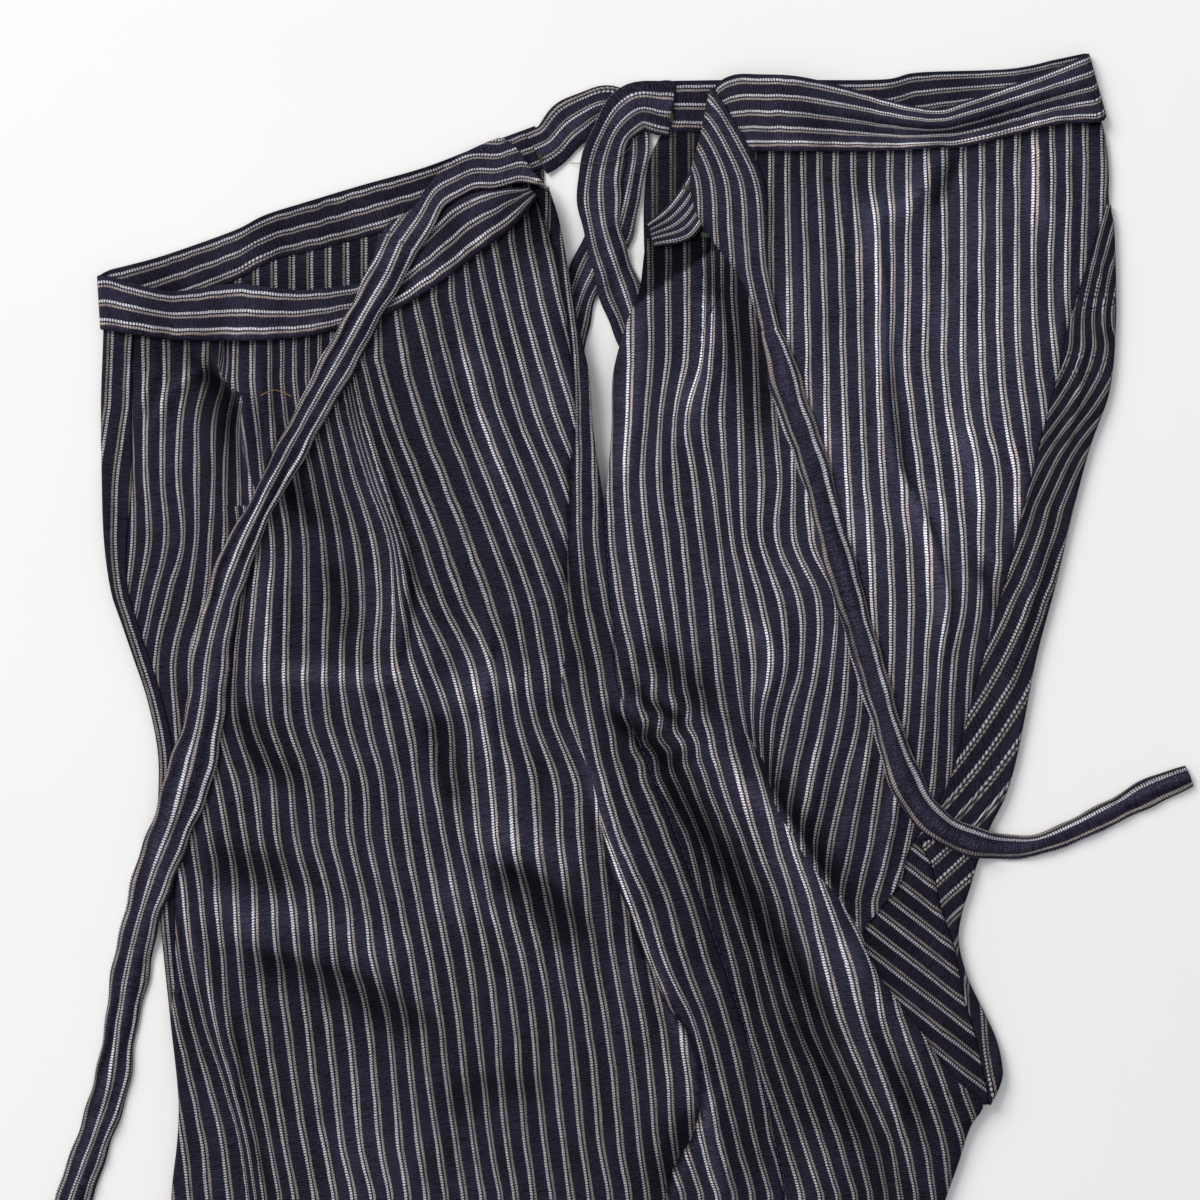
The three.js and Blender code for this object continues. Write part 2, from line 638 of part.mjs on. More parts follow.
// Right back, under the lay: flat from the side to the gussets and, below them, to the leg's edge.
function backUnder() {
  const right = (down) => {
    const seam = along(BACK_EDGE, 'x', down) - SEAT_GUSSET.tuck - HIDDEN_SEAM;
    const crotch = along(OUTLINE_RIGHT, 'x', down) - CROTCH_GUSSET.under - HIDDEN_SEAM;
    const leg = along(OUTLINE_RIGHT, 'x', down);
    if (down < SEAT_GUSSET.from) return leg - 1;
    if (down <= SEAT_GUSSET.to) return seam;
    if (down < CROTCH_GUSSET.to) return crotch;
    return THREE.MathUtils.lerp(crotch, leg, smooth(CROTCH_GUSSET.to, CROTCH_GUSSET.to + 24, down));
  };
  const grid = emptyRows();
  for (const share of steps(0, 1, 6)) {
    const top = bandBottom(BACK_BAND, THREE.MathUtils.lerp(...BAND_SPAN.backUnder, share), 0) + SEAM;
    downsFrom(top).forEach((down, i) => {
      grid[i].push([THREE.MathUtils.lerp(along(SIDE_UNDER, 'back', down), right(down), share), down, UNDER]);
    });
  }
  return wallGeometry(grid, CLOTH);
}

// Rows between two depths that match the panels' own rows.
const rowsBetween = (from, to) => {
  const least = 2;
  return [from, ...SHARED_ROWS.filter((down) => down > from + least && down < to - least), to];
};

// A gusset folded round the right edge: from its upper seam, round the fold, to its under seam.
function foldedGusset(rows, seam, underSeam) {
  const turns = 4;
  const grid = rows.map((down) => {
    const fold = along(OUTLINE_RIGHT, 'x', down);
    const height = lift(fold - 4, down);
    const radius = Math.min((height - UNDER) / 2, (fold - seam(down)) * 0.6);
    const upper = steps(seam(down), fold - radius, 2).map((x) => [x, down, lift(x, down)]);
    const turned = steps(0, Math.PI, turns)
      .slice(1, -1)
      .map((angle) => [
        fold - radius + radius * Math.sin(angle),
        down,
        (UNDER + upper[2][2]) / 2 + ((upper[2][2] - UNDER) / 2) * Math.cos(angle),
      ]);
    const under = steps(fold - radius, underSeam(down), 2).map((x) => [x, down, UNDER]);
    return [...upper, ...turned, ...under];
  });
  return wallGeometry(grid, CLOTH, { plumb: [0, -1] });
}

const seatGusset = () =>
  foldedGusset(
    [...steps(SEAT_GUSSET.from, SLIT_END, 9).slice(0, -1), ...rowsBetween(SLIT_END, SEAT_GUSSET.to)],
    (down) => along(BACK_EDGE, 'x', down) + SEAM,
    (down) => along(BACK_EDGE, 'x', down) - SEAT_GUSSET.tuck,
  );

const crotchGussetUnder = () =>
  foldedGusset(
    rowsBetween(CROTCH_GUSSET.from, CROTCH_GUSSET.to),
    (down) => along(CHEVRON, 'x', down) + SEAM,
    (down) => along(OUTLINE_RIGHT, 'x', down) - CROTCH_GUSSET.under,
  );

function crotchGussetUpper() {
  const grid = rowsBetween(CROTCH_GUSSET.from, CROTCH_GUSSET.to - 8).map((down) => {
    const left = along(BACK_EDGE, 'x', down) + SEAM;
    const right = along(CHEVRON, 'x', down) - SEAM / 2;
    return steps(left, right, 4).map((x) => [x, down, lift(x, down)]);
  });
  return wallGeometry(grid, CLOTH, { plumb: [0, -1] });
}

// Inner face of a leg, a flat piece between the turned edges of the outer panels.
function innerLeg(z, leftInset, rightInset) {
  const grid = steps(INNER_FROM, HEM_FROM - SEAM, 12).map((down) => {
    const left = along(OUTLINE_LEFT, 'x', down) + leftInset;
    const right = Math.min(along(OUTLINE_RIGHT, 'x', down), along(BACK_EDGE, 'x', down)) - rightInset;
    return steps(left, right, 3).map((x) => [x, down, z]);
  });
  return wallGeometry(grid, CLOTH);
}

// Height of the upper layer near a folded edge: a quarter of an ellipse down to the rim.
function rolled(height, rim, inside) {
  const share = THREE.MathUtils.clamp(1 - inside / ROLL, 0, 1);
  return rim + (height - rim) * Math.sqrt(1 - share ** 2);
}

const GUSSET_STARTS = [78, 96]; // where the upper back's edge changes from a fold to the gusset's seam
const GUSSETS_END = [480, 460]; // and where it is a fold again
const RIM_LEFT = LEG_RETURN + CLOTH + GAP;
const RIM_RIGHT = UNDER + CLOTH + GAP;

// Left front, uppermost: from the centre seam, or the leg's fold, to the slit and the side seam.
function frontUpper() {
  const leftEdge = (down) => {
    const fold = along(OUTLINE_LEFT, 'x', down);
    const seam = fold + along(FRONT_RETURN, 'width', down) + SEAM;
    return THREE.MathUtils.lerp(seam, fold + 0.4, smooth(LEG_FULL - 16, LEG_FULL + 8, down));
  };
  const grid = emptyRows();
  for (const share of [0, 0.008, 0.024, 0.07, ...steps(0.15, 1, 10)]) {
    const top = bandBottom(FRONT_BAND, THREE.MathUtils.lerp(...BAND_SPAN.frontUpper, share), 1) - UNDER_TUCK;
    downsFrom(top).forEach((down, i) => {
      const left = leftEdge(down);
      const x = THREE.MathUtils.lerp(left, along(SIDE_UPPER, 'front', down), share);
      const folded = smooth(LEG_FULL - 16, LEG_FULL + 8, down);
      const flat = lift(x, down);
      grid[i].push([x, down, THREE.MathUtils.lerp(flat, rolled(flat, RIM_LEFT, x - left), folded)]);
    });
  }
  return wallGeometry(grid, CLOTH, { plumb: [-1] });
}

// Left back, uppermost: from the slit and the side seam to the gussets or, past them, the right fold.
function backUpper() {
  const grid = emptyRows();
  for (const share of [...steps(0, 0.85, 10), 0.93, 0.976, 0.992, 1]) {
    const ribX = THREE.MathUtils.lerp(...BAND_SPAN.backUpper, share);
    const tuck = THREE.MathUtils.lerp(UNDER_TUCK, -SEAM, smooth(...TUCK_ENDS, ribX));
    const top = bandBottom(BACK_BAND, ribX, 1) - tuck;
    downsFrom(top).forEach((down, i) => {
      const right = along(BACK_EDGE, 'x', down);
      const x = THREE.MathUtils.lerp(along(SIDE_UPPER, 'back', down), right, share);
      const folded = 1 - smooth(...GUSSET_STARTS, down) * smooth(...GUSSETS_END, down);
      const flat = lift(x, down);
      grid[i].push([x, down, THREE.MathUtils.lerp(flat, rolled(flat, RIM_RIGHT, right - x), folded)]);
    });
  }
  return wallGeometry(grid, CLOTH, { plumb: [0] });
}

// A hem band: a flattened tube round the end of a leg.
function hemBand(lowZ, highZ) {
  const radius = (highZ - lowZ) / 2;
  const turns = [0.25, 0.5, 0.75].map((share) => Math.PI * share);
  const grid = [HEM_FROM, (HEM_FROM + HEM_TO) / 2, HEM_TO].map((down) => {
    const left = along(OUTLINE_LEFT, 'x', down) + radius;
    const right = along(OUTLINE_RIGHT, 'x', down) - radius;
    const upper = steps(left, right, 4).map((x) => [x, down, highZ]);
    const turned = (edge, side) =>
      turns.map((angle) => [
        edge + side * radius * Math.sin(angle),
        down,
        (lowZ + highZ) / 2 + side * radius * Math.cos(angle),
      ]);
    const rightTurn = turned(right, 1);
    const lower = steps(right, left, 4).map((x) => [x, down, lowZ]);
    const leftTurn = turned(left, -1);
    return [...upper, ...rightTurn, ...lower, ...leftTurn];
  });
  return wallGeometry(grid, CLOTH, { closed: true });
}

// ---------------------------------------------------------------------------------------------
// waistbands and ties

// A waistband: ribs from its top to its bottom edge, on the table, round the fold, then on the panel.
function waistband(ribs, count, reach) {
  const shares = [0, 0.22, 0.4, 0.52, 0.75, 1];
  const grid = evenly(ribs, ['topX', 'topDown'], count).map((rib) =>
    shares.map((share) => {
      const x = THREE.MathUtils.lerp(rib.topX, rib.bottomX, share);
      const down = THREE.MathUtils.lerp(rib.topDown, rib.bottomDown, share);
      const over = THREE.MathUtils.clamp(rib.over, 0, 1);
      const rested = over > 0.9 ? Math.max(pile.rest(x, down, reach, BAND), UPPER_SEAT + 1) : BAND_FOLD;
      const lip = Math.max(rib.lip ?? 0, 0) * smooth(0.5, 0.4, share) * (0.6 + share);
      return [x, down, THREE.MathUtils.lerp(BAND / 2, rested, over) + lip];
    }),
  );
  return wallGeometry(grid, BAND);
}

// A tie: its width squared across the course, each point resting on the cloth below it.
function tie(rows, count, reach) {
  const course = evenly(rows, ['x', 'down'], count);
  const grid = course.map((point, i) => {
    const ahead = course[Math.min(i + 1, count - 1)];
    const behind = course[Math.max(i - 1, 0)];
    const length = Math.hypot(ahead.x - behind.x, ahead.down - behind.down);
    const acrossX = (ahead.down - behind.down) / length;
    const acrossDown = -(ahead.x - behind.x) / length;
    return steps(-0.5, 0.5, 2).map((share) => {
      const x = point.x + acrossX * point.width * share;
      const down = point.down + acrossDown * point.width * share;
      return [x, down, pile.rest(x, down, reach, TIE)];
    });
  });
  return wallGeometry(grid, TIE);
}

// ---------------------------------------------------------------------------------------------
// the lay, from the table up

add('front_right', frontUnder(), NAVY_DEEP);
add('back_right', backUnder(), NAVY_DEEP);
add('inner_leg_right', innerLeg(LEG_RETURN, 4.2, 6.5), NAVY_DEEP);
add('inner_leg_left', innerLeg(LEG_RETURN + CLOTH + GAP, 6.5, 6.5), NAVY_DEEP);
add('tie_front_right', tie(TIE_FRONT_UNDER, 30, 7), NAVY);
add('tie_back_right', tie(TIE_BACK_UNDER, 28, 7), NAVY);
add('seat_gusset', seatGusset(), NAVY);
add('crotch_gusset_right', crotchGussetUnder(), NAVY);
add('crotch_gusset_left', crotchGussetUpper(), NAVY);
add('front_left', frontUpper(), NAVY);
add('back_left', backUpper(), NAVY);
add('hem_right', hemBand(UNDER, LEG_RETURN), NAVY_DEEP);
add('hem_left', hemBand(RIM_LEFT, UPPER_LEG), NAVY);
add('waistband_front', waistband(FRONT_BAND, 40, 6), NAVY);
add('waistband_back', waistband(BACK_BAND, 40, 6), NAVY);
add('tie_front_left', tie(TIE_FRONT_UPPER, 52, 9), NAVY);
add('tie_back_left', tie(TIE_BACK_UPPER, 46, 8), NAVY);

export default trousers;
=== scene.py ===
import math

import bpy
import numpy as np
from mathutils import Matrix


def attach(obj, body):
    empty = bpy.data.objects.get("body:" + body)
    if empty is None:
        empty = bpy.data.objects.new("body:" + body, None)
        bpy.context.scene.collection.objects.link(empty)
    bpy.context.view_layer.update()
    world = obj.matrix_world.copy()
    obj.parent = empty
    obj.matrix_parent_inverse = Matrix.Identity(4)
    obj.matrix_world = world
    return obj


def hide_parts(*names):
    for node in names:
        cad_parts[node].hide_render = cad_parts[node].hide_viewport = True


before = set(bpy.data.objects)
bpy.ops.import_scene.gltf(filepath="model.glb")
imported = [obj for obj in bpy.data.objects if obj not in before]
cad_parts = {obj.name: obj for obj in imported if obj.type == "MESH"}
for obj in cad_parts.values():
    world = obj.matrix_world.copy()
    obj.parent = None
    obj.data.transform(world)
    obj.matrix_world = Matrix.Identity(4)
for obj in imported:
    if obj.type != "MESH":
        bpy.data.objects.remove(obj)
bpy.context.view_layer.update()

STEP = 0.42
MM = 0.001
ORIGIN_X, ORIGIN_DOWN = 256, 476.1
WALL = 0.75  # one layer of cloth
BAND_WALL = 1.3
TIE_WALL = 0.9
UPPER_SEAT, UPPER_LEG = 3.6, 5.4
LEG_FROM, LEG_FULL = 380, 424
INNER_FROM, HEM_FROM, HEM_TO = 432, 914, 930
SLIT_END = 212
CROWN = 2.6
ROLL = 5
UNDER = 0.6
LEG_RETURN = 2.1
RIM_LEFT, RIM_RIGHT = 3.6, 2.1
STRIPE = 7.6  # one pair of stripes and the ground between two pairs

# ---------------------------------------------------------------------------------------------
# the lay, from the solids: rows of (down, x), side edges of (down, front, back), bands' ribs

OUTLINE_LEFT = [
    (110, 43.5), (138, 43.5), (169, 42.5), (201, 42.8), (228, 43.8), (249, 46.8), (260, 50.5), (276, 56),
    (294, 62), (317, 66.5), (342, 66.5), (386, 67.5), (428, 71.5), (462, 75), (479, 74.5), (504, 72),
    (560, 73), (640, 79), (740, 88), (840, 98), (930, 107),
]
OUTLINE_RIGHT = [
    (40, 462), (63, 466), (80, 467), (109, 468.5), (139, 468.5), (164, 466), (187, 458), (211, 451.5),
    (243, 444), (275, 435.5), (318, 427), (335, 422), (348, 415.5), (369, 408.5), (392, 402.5),
    (410, 406), (427, 414), (438, 418.7), (450, 421), (455.5, 420), (463.5, 416), (473, 408), (488.5, 403),
    (504, 397.5), (560, 380), (650, 348), (750, 315), (850, 284), (930, 258),
]
SIDE_SEAM = [
    (212, 253.5, 254.2), (235, 255, 255.6), (260, 257, 257.6), (290, 260, 260.6), (321, 272, 272.7),
    (364, 289, 289.7), (400, 302, 302.6), (430, 312, 312.6), (457, 320.5, 321.1), (484, 326, 326.6),
    (504, 329, 329.6), (560, 322, 322.6), (650, 282, 282.6), (750, 236, 236.6), (850, 202, 202.6),
    (930, 182, 182.6),
]
SIDE_UPPER = [
    (74, 228.5, 278), (90, 234, 274), (104, 237, 271), (122, 240, 268.5), (140, 243.5, 262),
    (158, 247.5, 257.5), (180, 249, 257), (201, 252, 255.5), *SIDE_SEAM,
]
SIDE_UNDER = [
    (52, 226, 280), (66, 228, 273), (84, 229, 270.5), (101, 233, 270.5), (126, 237, 271),
    (147, 242.5, 264), (180, 245.5, 260), (201, 248.5, 257.5), *SIDE_SEAM,
]
FRONT_RETURN = [(110, 12), (201, 12.5), (249, 7), (386, 6), (400, 5), (430, 3.4), (930, 3.4)]
BACK_EDGE = [
    (40, 460.5), (63, 465), (83, 465.2), (103, 459.5), (135, 449), (156, 444.5), (185, 437), (219, 428),
    (238, 424), (269, 415), (296, 407.5), (324, 400), (343, 391), (358, 381), (370, 378), (383, 368),
    (392, 362), (409, 368.5), (431, 385), (453, 401), (463, 412.5), (473, 407.5), (488.5, 402.5),
    (504, 397), (560, 379.5), (650, 347.5), (750, 314.5), (850, 283.5), (930, 257.5),
]
CHEVRON = [(356, 387), (363, 391), (381, 395), (397, 400.5), (419, 404.5), (433, 409), (457, 414.2), (465, 415.6)]
SEAT_GUSSET = (88, 352, 4)  # from, to, tuck
CROTCH_GUSSET = (353, 464, 20)  # from, to, width under the lay
LEAN = [(88, 12), (126, 10), (148, 38), (172, 42), (200, 27), (270, 30), (330, 40), (360, 47), (390, 44), (404, 12), (465, -14)]
# ribs: top x, top down, bottom x, bottom down, over (0 under the lay, 1 on it), lip
FRONT_BAND = [
    (224.5, 52.5, 229.5, 69.5, 0), (201.5, 61, 208, 79, 0), (178, 70, 185, 89, 0),
    (151.5, 77.5, 157.5, 98, 0), (130, 84, 135, 104, 0), (111, 90, 115, 109, 0),
    (98, 96.5, 96, 118.5, 0), (70, 106.5, 72, 127.5, 0), (54, 111, 56, 133.5, 0),
    (46, 113, 47, 136.5, 0), (42, 115, 43.5, 137.5, 0.2), (41, 116, 42.5, 138, 0.5),
    (42.5, 116, 43.5, 138.5, 0.8), (47, 116.5, 47, 139, 1), (60.5, 120.5, 63, 141.5, 1),
    (74.5, 122.5, 75.5, 143, 1), (98, 119.5, 98, 143.5, 1), (114, 121, 114, 143, 1),
    (130, 122, 131, 141, 1), (151.5, 119, 154, 135, 1), (163, 111, 170.5, 128, 1),
    (177, 98, 189, 116, 1), (190, 86, 203, 105, 1), (203, 80.5, 215, 96, 1),
    (213, 79.5, 222, 88, 1), (222.5, 79.5, 225.5, 82.5, 1),
]
BACK_BAND = [
    (283, 33.5, 282, 55, 0, 0), (320, 33, 320, 56, 0, 0), (369.5, 33, 369.5, 56, 0, 0),
    (386, 30, 388, 54, 0, 0), (424, 28.5, 428, 51, 0, 0), (444, 24.5, 448, 49, 0, 0),
    (453.5, 22.5, 458, 48.5, 0, 0), (456.5, 22, 463, 48.5, 0.2, 0), (457, 22.5, 464.5, 49, 0.5, 0.2),
    (456, 23, 463.5, 50.5, 0.8, 0.5), (454.5, 24, 460, 51.5, 1, 1), (440, 30.5, 445, 52.5, 1, 2),
    (421, 37.5, 428, 56.5, 1, 3), (404, 43.5, 404, 62, 1, 3.5), (394, 46.5, 393, 62.5, 1, 3.5),
    (378, 44, 378, 63.5, 1, 3), (357, 37.5, 357, 64, 1, 2), (336, 32.5, 336, 64, 1, 1),
    (319, 31.5, 320, 64, 1, 0), (309, 31.5, 315.5, 64, 1, 0), (302.4, 34.4, 311, 63, 1, 0),
    (299.8, 39, 307.5, 62, 1, 0), (297, 54, 305, 76, 1, 0),
    (289, 74, 297, 92, 1, 0), (281, 86, 289, 101, 1, 0), (272, 94, 275, 103.5, 1, 0),
]
BAND_SPAN = {"front_under": (46, 228), "front_upper": (56, 225.5), "back_under": (282, 462),
             "back_upper": (272, 461)}
# ties: x, down, width
TIE_FRONT_UPPER = [
    (168, 101, 17), (161, 118, 15),
    (148, 143, 14), (136, 165, 14), (122, 191, 11.5), (111.5, 211, 10), (98.5, 238, 14), (90, 269, 16),
    (86, 302, 17), (76.5, 336, 19), (65, 367, 17), (57.5, 393, 16), (51, 428, 14), (46.5, 455, 14),
    (40, 476, 15), (30.5, 504, 14), (21, 540, 15), (19, 570, 17),
]
TIE_BACK_UPPER = [
    (323.5, 139.5, 7), (327, 150, 10), (332, 169, 14), (342, 198, 12), (349, 225, 12), (357, 253, 12), (369, 294, 12),
    (379, 325, 13), (389, 342, 13), (404, 352, 12), (424, 356, 10), (441, 353.5, 9), (466, 342, 10),
    (483, 333, 12), (500, 326, 8),
]
# where a tie leaves its band: edge to edge in steps, x and down of the one, then of the other
TIE_FRONT_HEAD = [
    (544, 186, 544, 188), (529, 166, 530, 184), (519, 151, 519, 183), (509, 141, 508, 186),
    (498, 138, 492, 190), (471, 149, 476, 190), (451, 161, 461, 197), (430, 182, 444, 208),
    (412, 208, 432, 232), (385, 226, 417, 255),
]
TIE_BACK_HEAD = [
    (711, 90, 713, 90), (707, 105, 720, 100), (704, 120, 733, 121), (699, 142, 748, 148),
    (693, 163, 759, 170), (690, 180, 765, 190), (692, 200, 767, 212), (700, 222, 767, 232),
    (712, 241, 767, 252), (734, 269, 768, 272), (750, 297, 772, 297), (762, 330, 778, 327),
]
TIE_FRONT_UNDER = [
    (225, 64, 19), (231.8, 60, 18), (240, 51, 19), (254, 43.5, 17), (264, 49, 14), (266, 62, 13), (263.5, 77, 13),
    (258, 95, 17), (248, 112, 16), (241, 131, 15), (236, 160, 14), (233, 200, 14), (232, 250, 14),
    (233, 300, 14), (236, 360, 14),
]
TIE_BACK_UNDER = [
    (282.5, 45.5, 22.5), (278, 45, 22), (267, 45, 20), (257, 56, 18), (252, 74, 18), (252.5, 94, 16), (258, 115, 17),
    (265, 136, 16), (273, 160, 15), (282, 200, 15), (290, 250, 15), (298, 300, 15), (306, 350, 15),
]
# folds that the solids share: rise, spread to the left, spread to the right, course of (x, down)
FOLDS = [
    (4, 5, 13, [(90, 146), (101, 166), (103, 186), (107, 212), (112, 240)]),
    (3, 12, 8, [(143, 172), (160, 196), (169, 222), (173, 256), (172, 300)]),
    (3, 12, 9, [(205, 270), (208, 305), (213, 340), (216, 380)]),
    (5, 10, 9, [(243, 316), (252, 343), (265, 384), (282, 430), (298, 474), (306, 540)]),
    (2.5, 12, 14, [(180, 372), (205, 380), (235, 402)]),
    (2.5, 14, 10, [(84, 372), (105, 392), (138, 424)]),
    (2, 16, 8, [(226, 100), (232, 150), (238, 210)]),
    (3.5, 6, 9, [(392, 68), (383, 88), (366, 92), (369, 112), (375, 135), (374, 170)]),
    (3.5, 6, 8, [(436, 58), (437, 82), (442, 105)]),
    (4, 9, 9, [(384, 200), (394, 222), (398, 246), (396, 282)]),
    (3, 14, 10, [(345, 100), (337, 140), (352, 190), (368, 240), (380, 290)]),
    (2.5, 9, 14, [(266, 150), (266, 200), (270, 250), (276, 285)]),
    (4, 7, 7, [(262, 292), (278, 300), (292, 318)]),
    (9, 17, 6, [(286, 292), (312, 330), (331, 352), (340, 368), (352, 391), (364, 413), (379, 435),
                (396, 456)]),
    (3.5, 14, 14, [(352, 470), (338, 520), (320, 590)]),
    (3, 20, 20, [(150, 450), (165, 540), (160, 640)]),
]

# ---------------------------------------------------------------------------------------------
# finer creases of the cloth: rise (a trough is below 0), spread left, spread right, course in steps

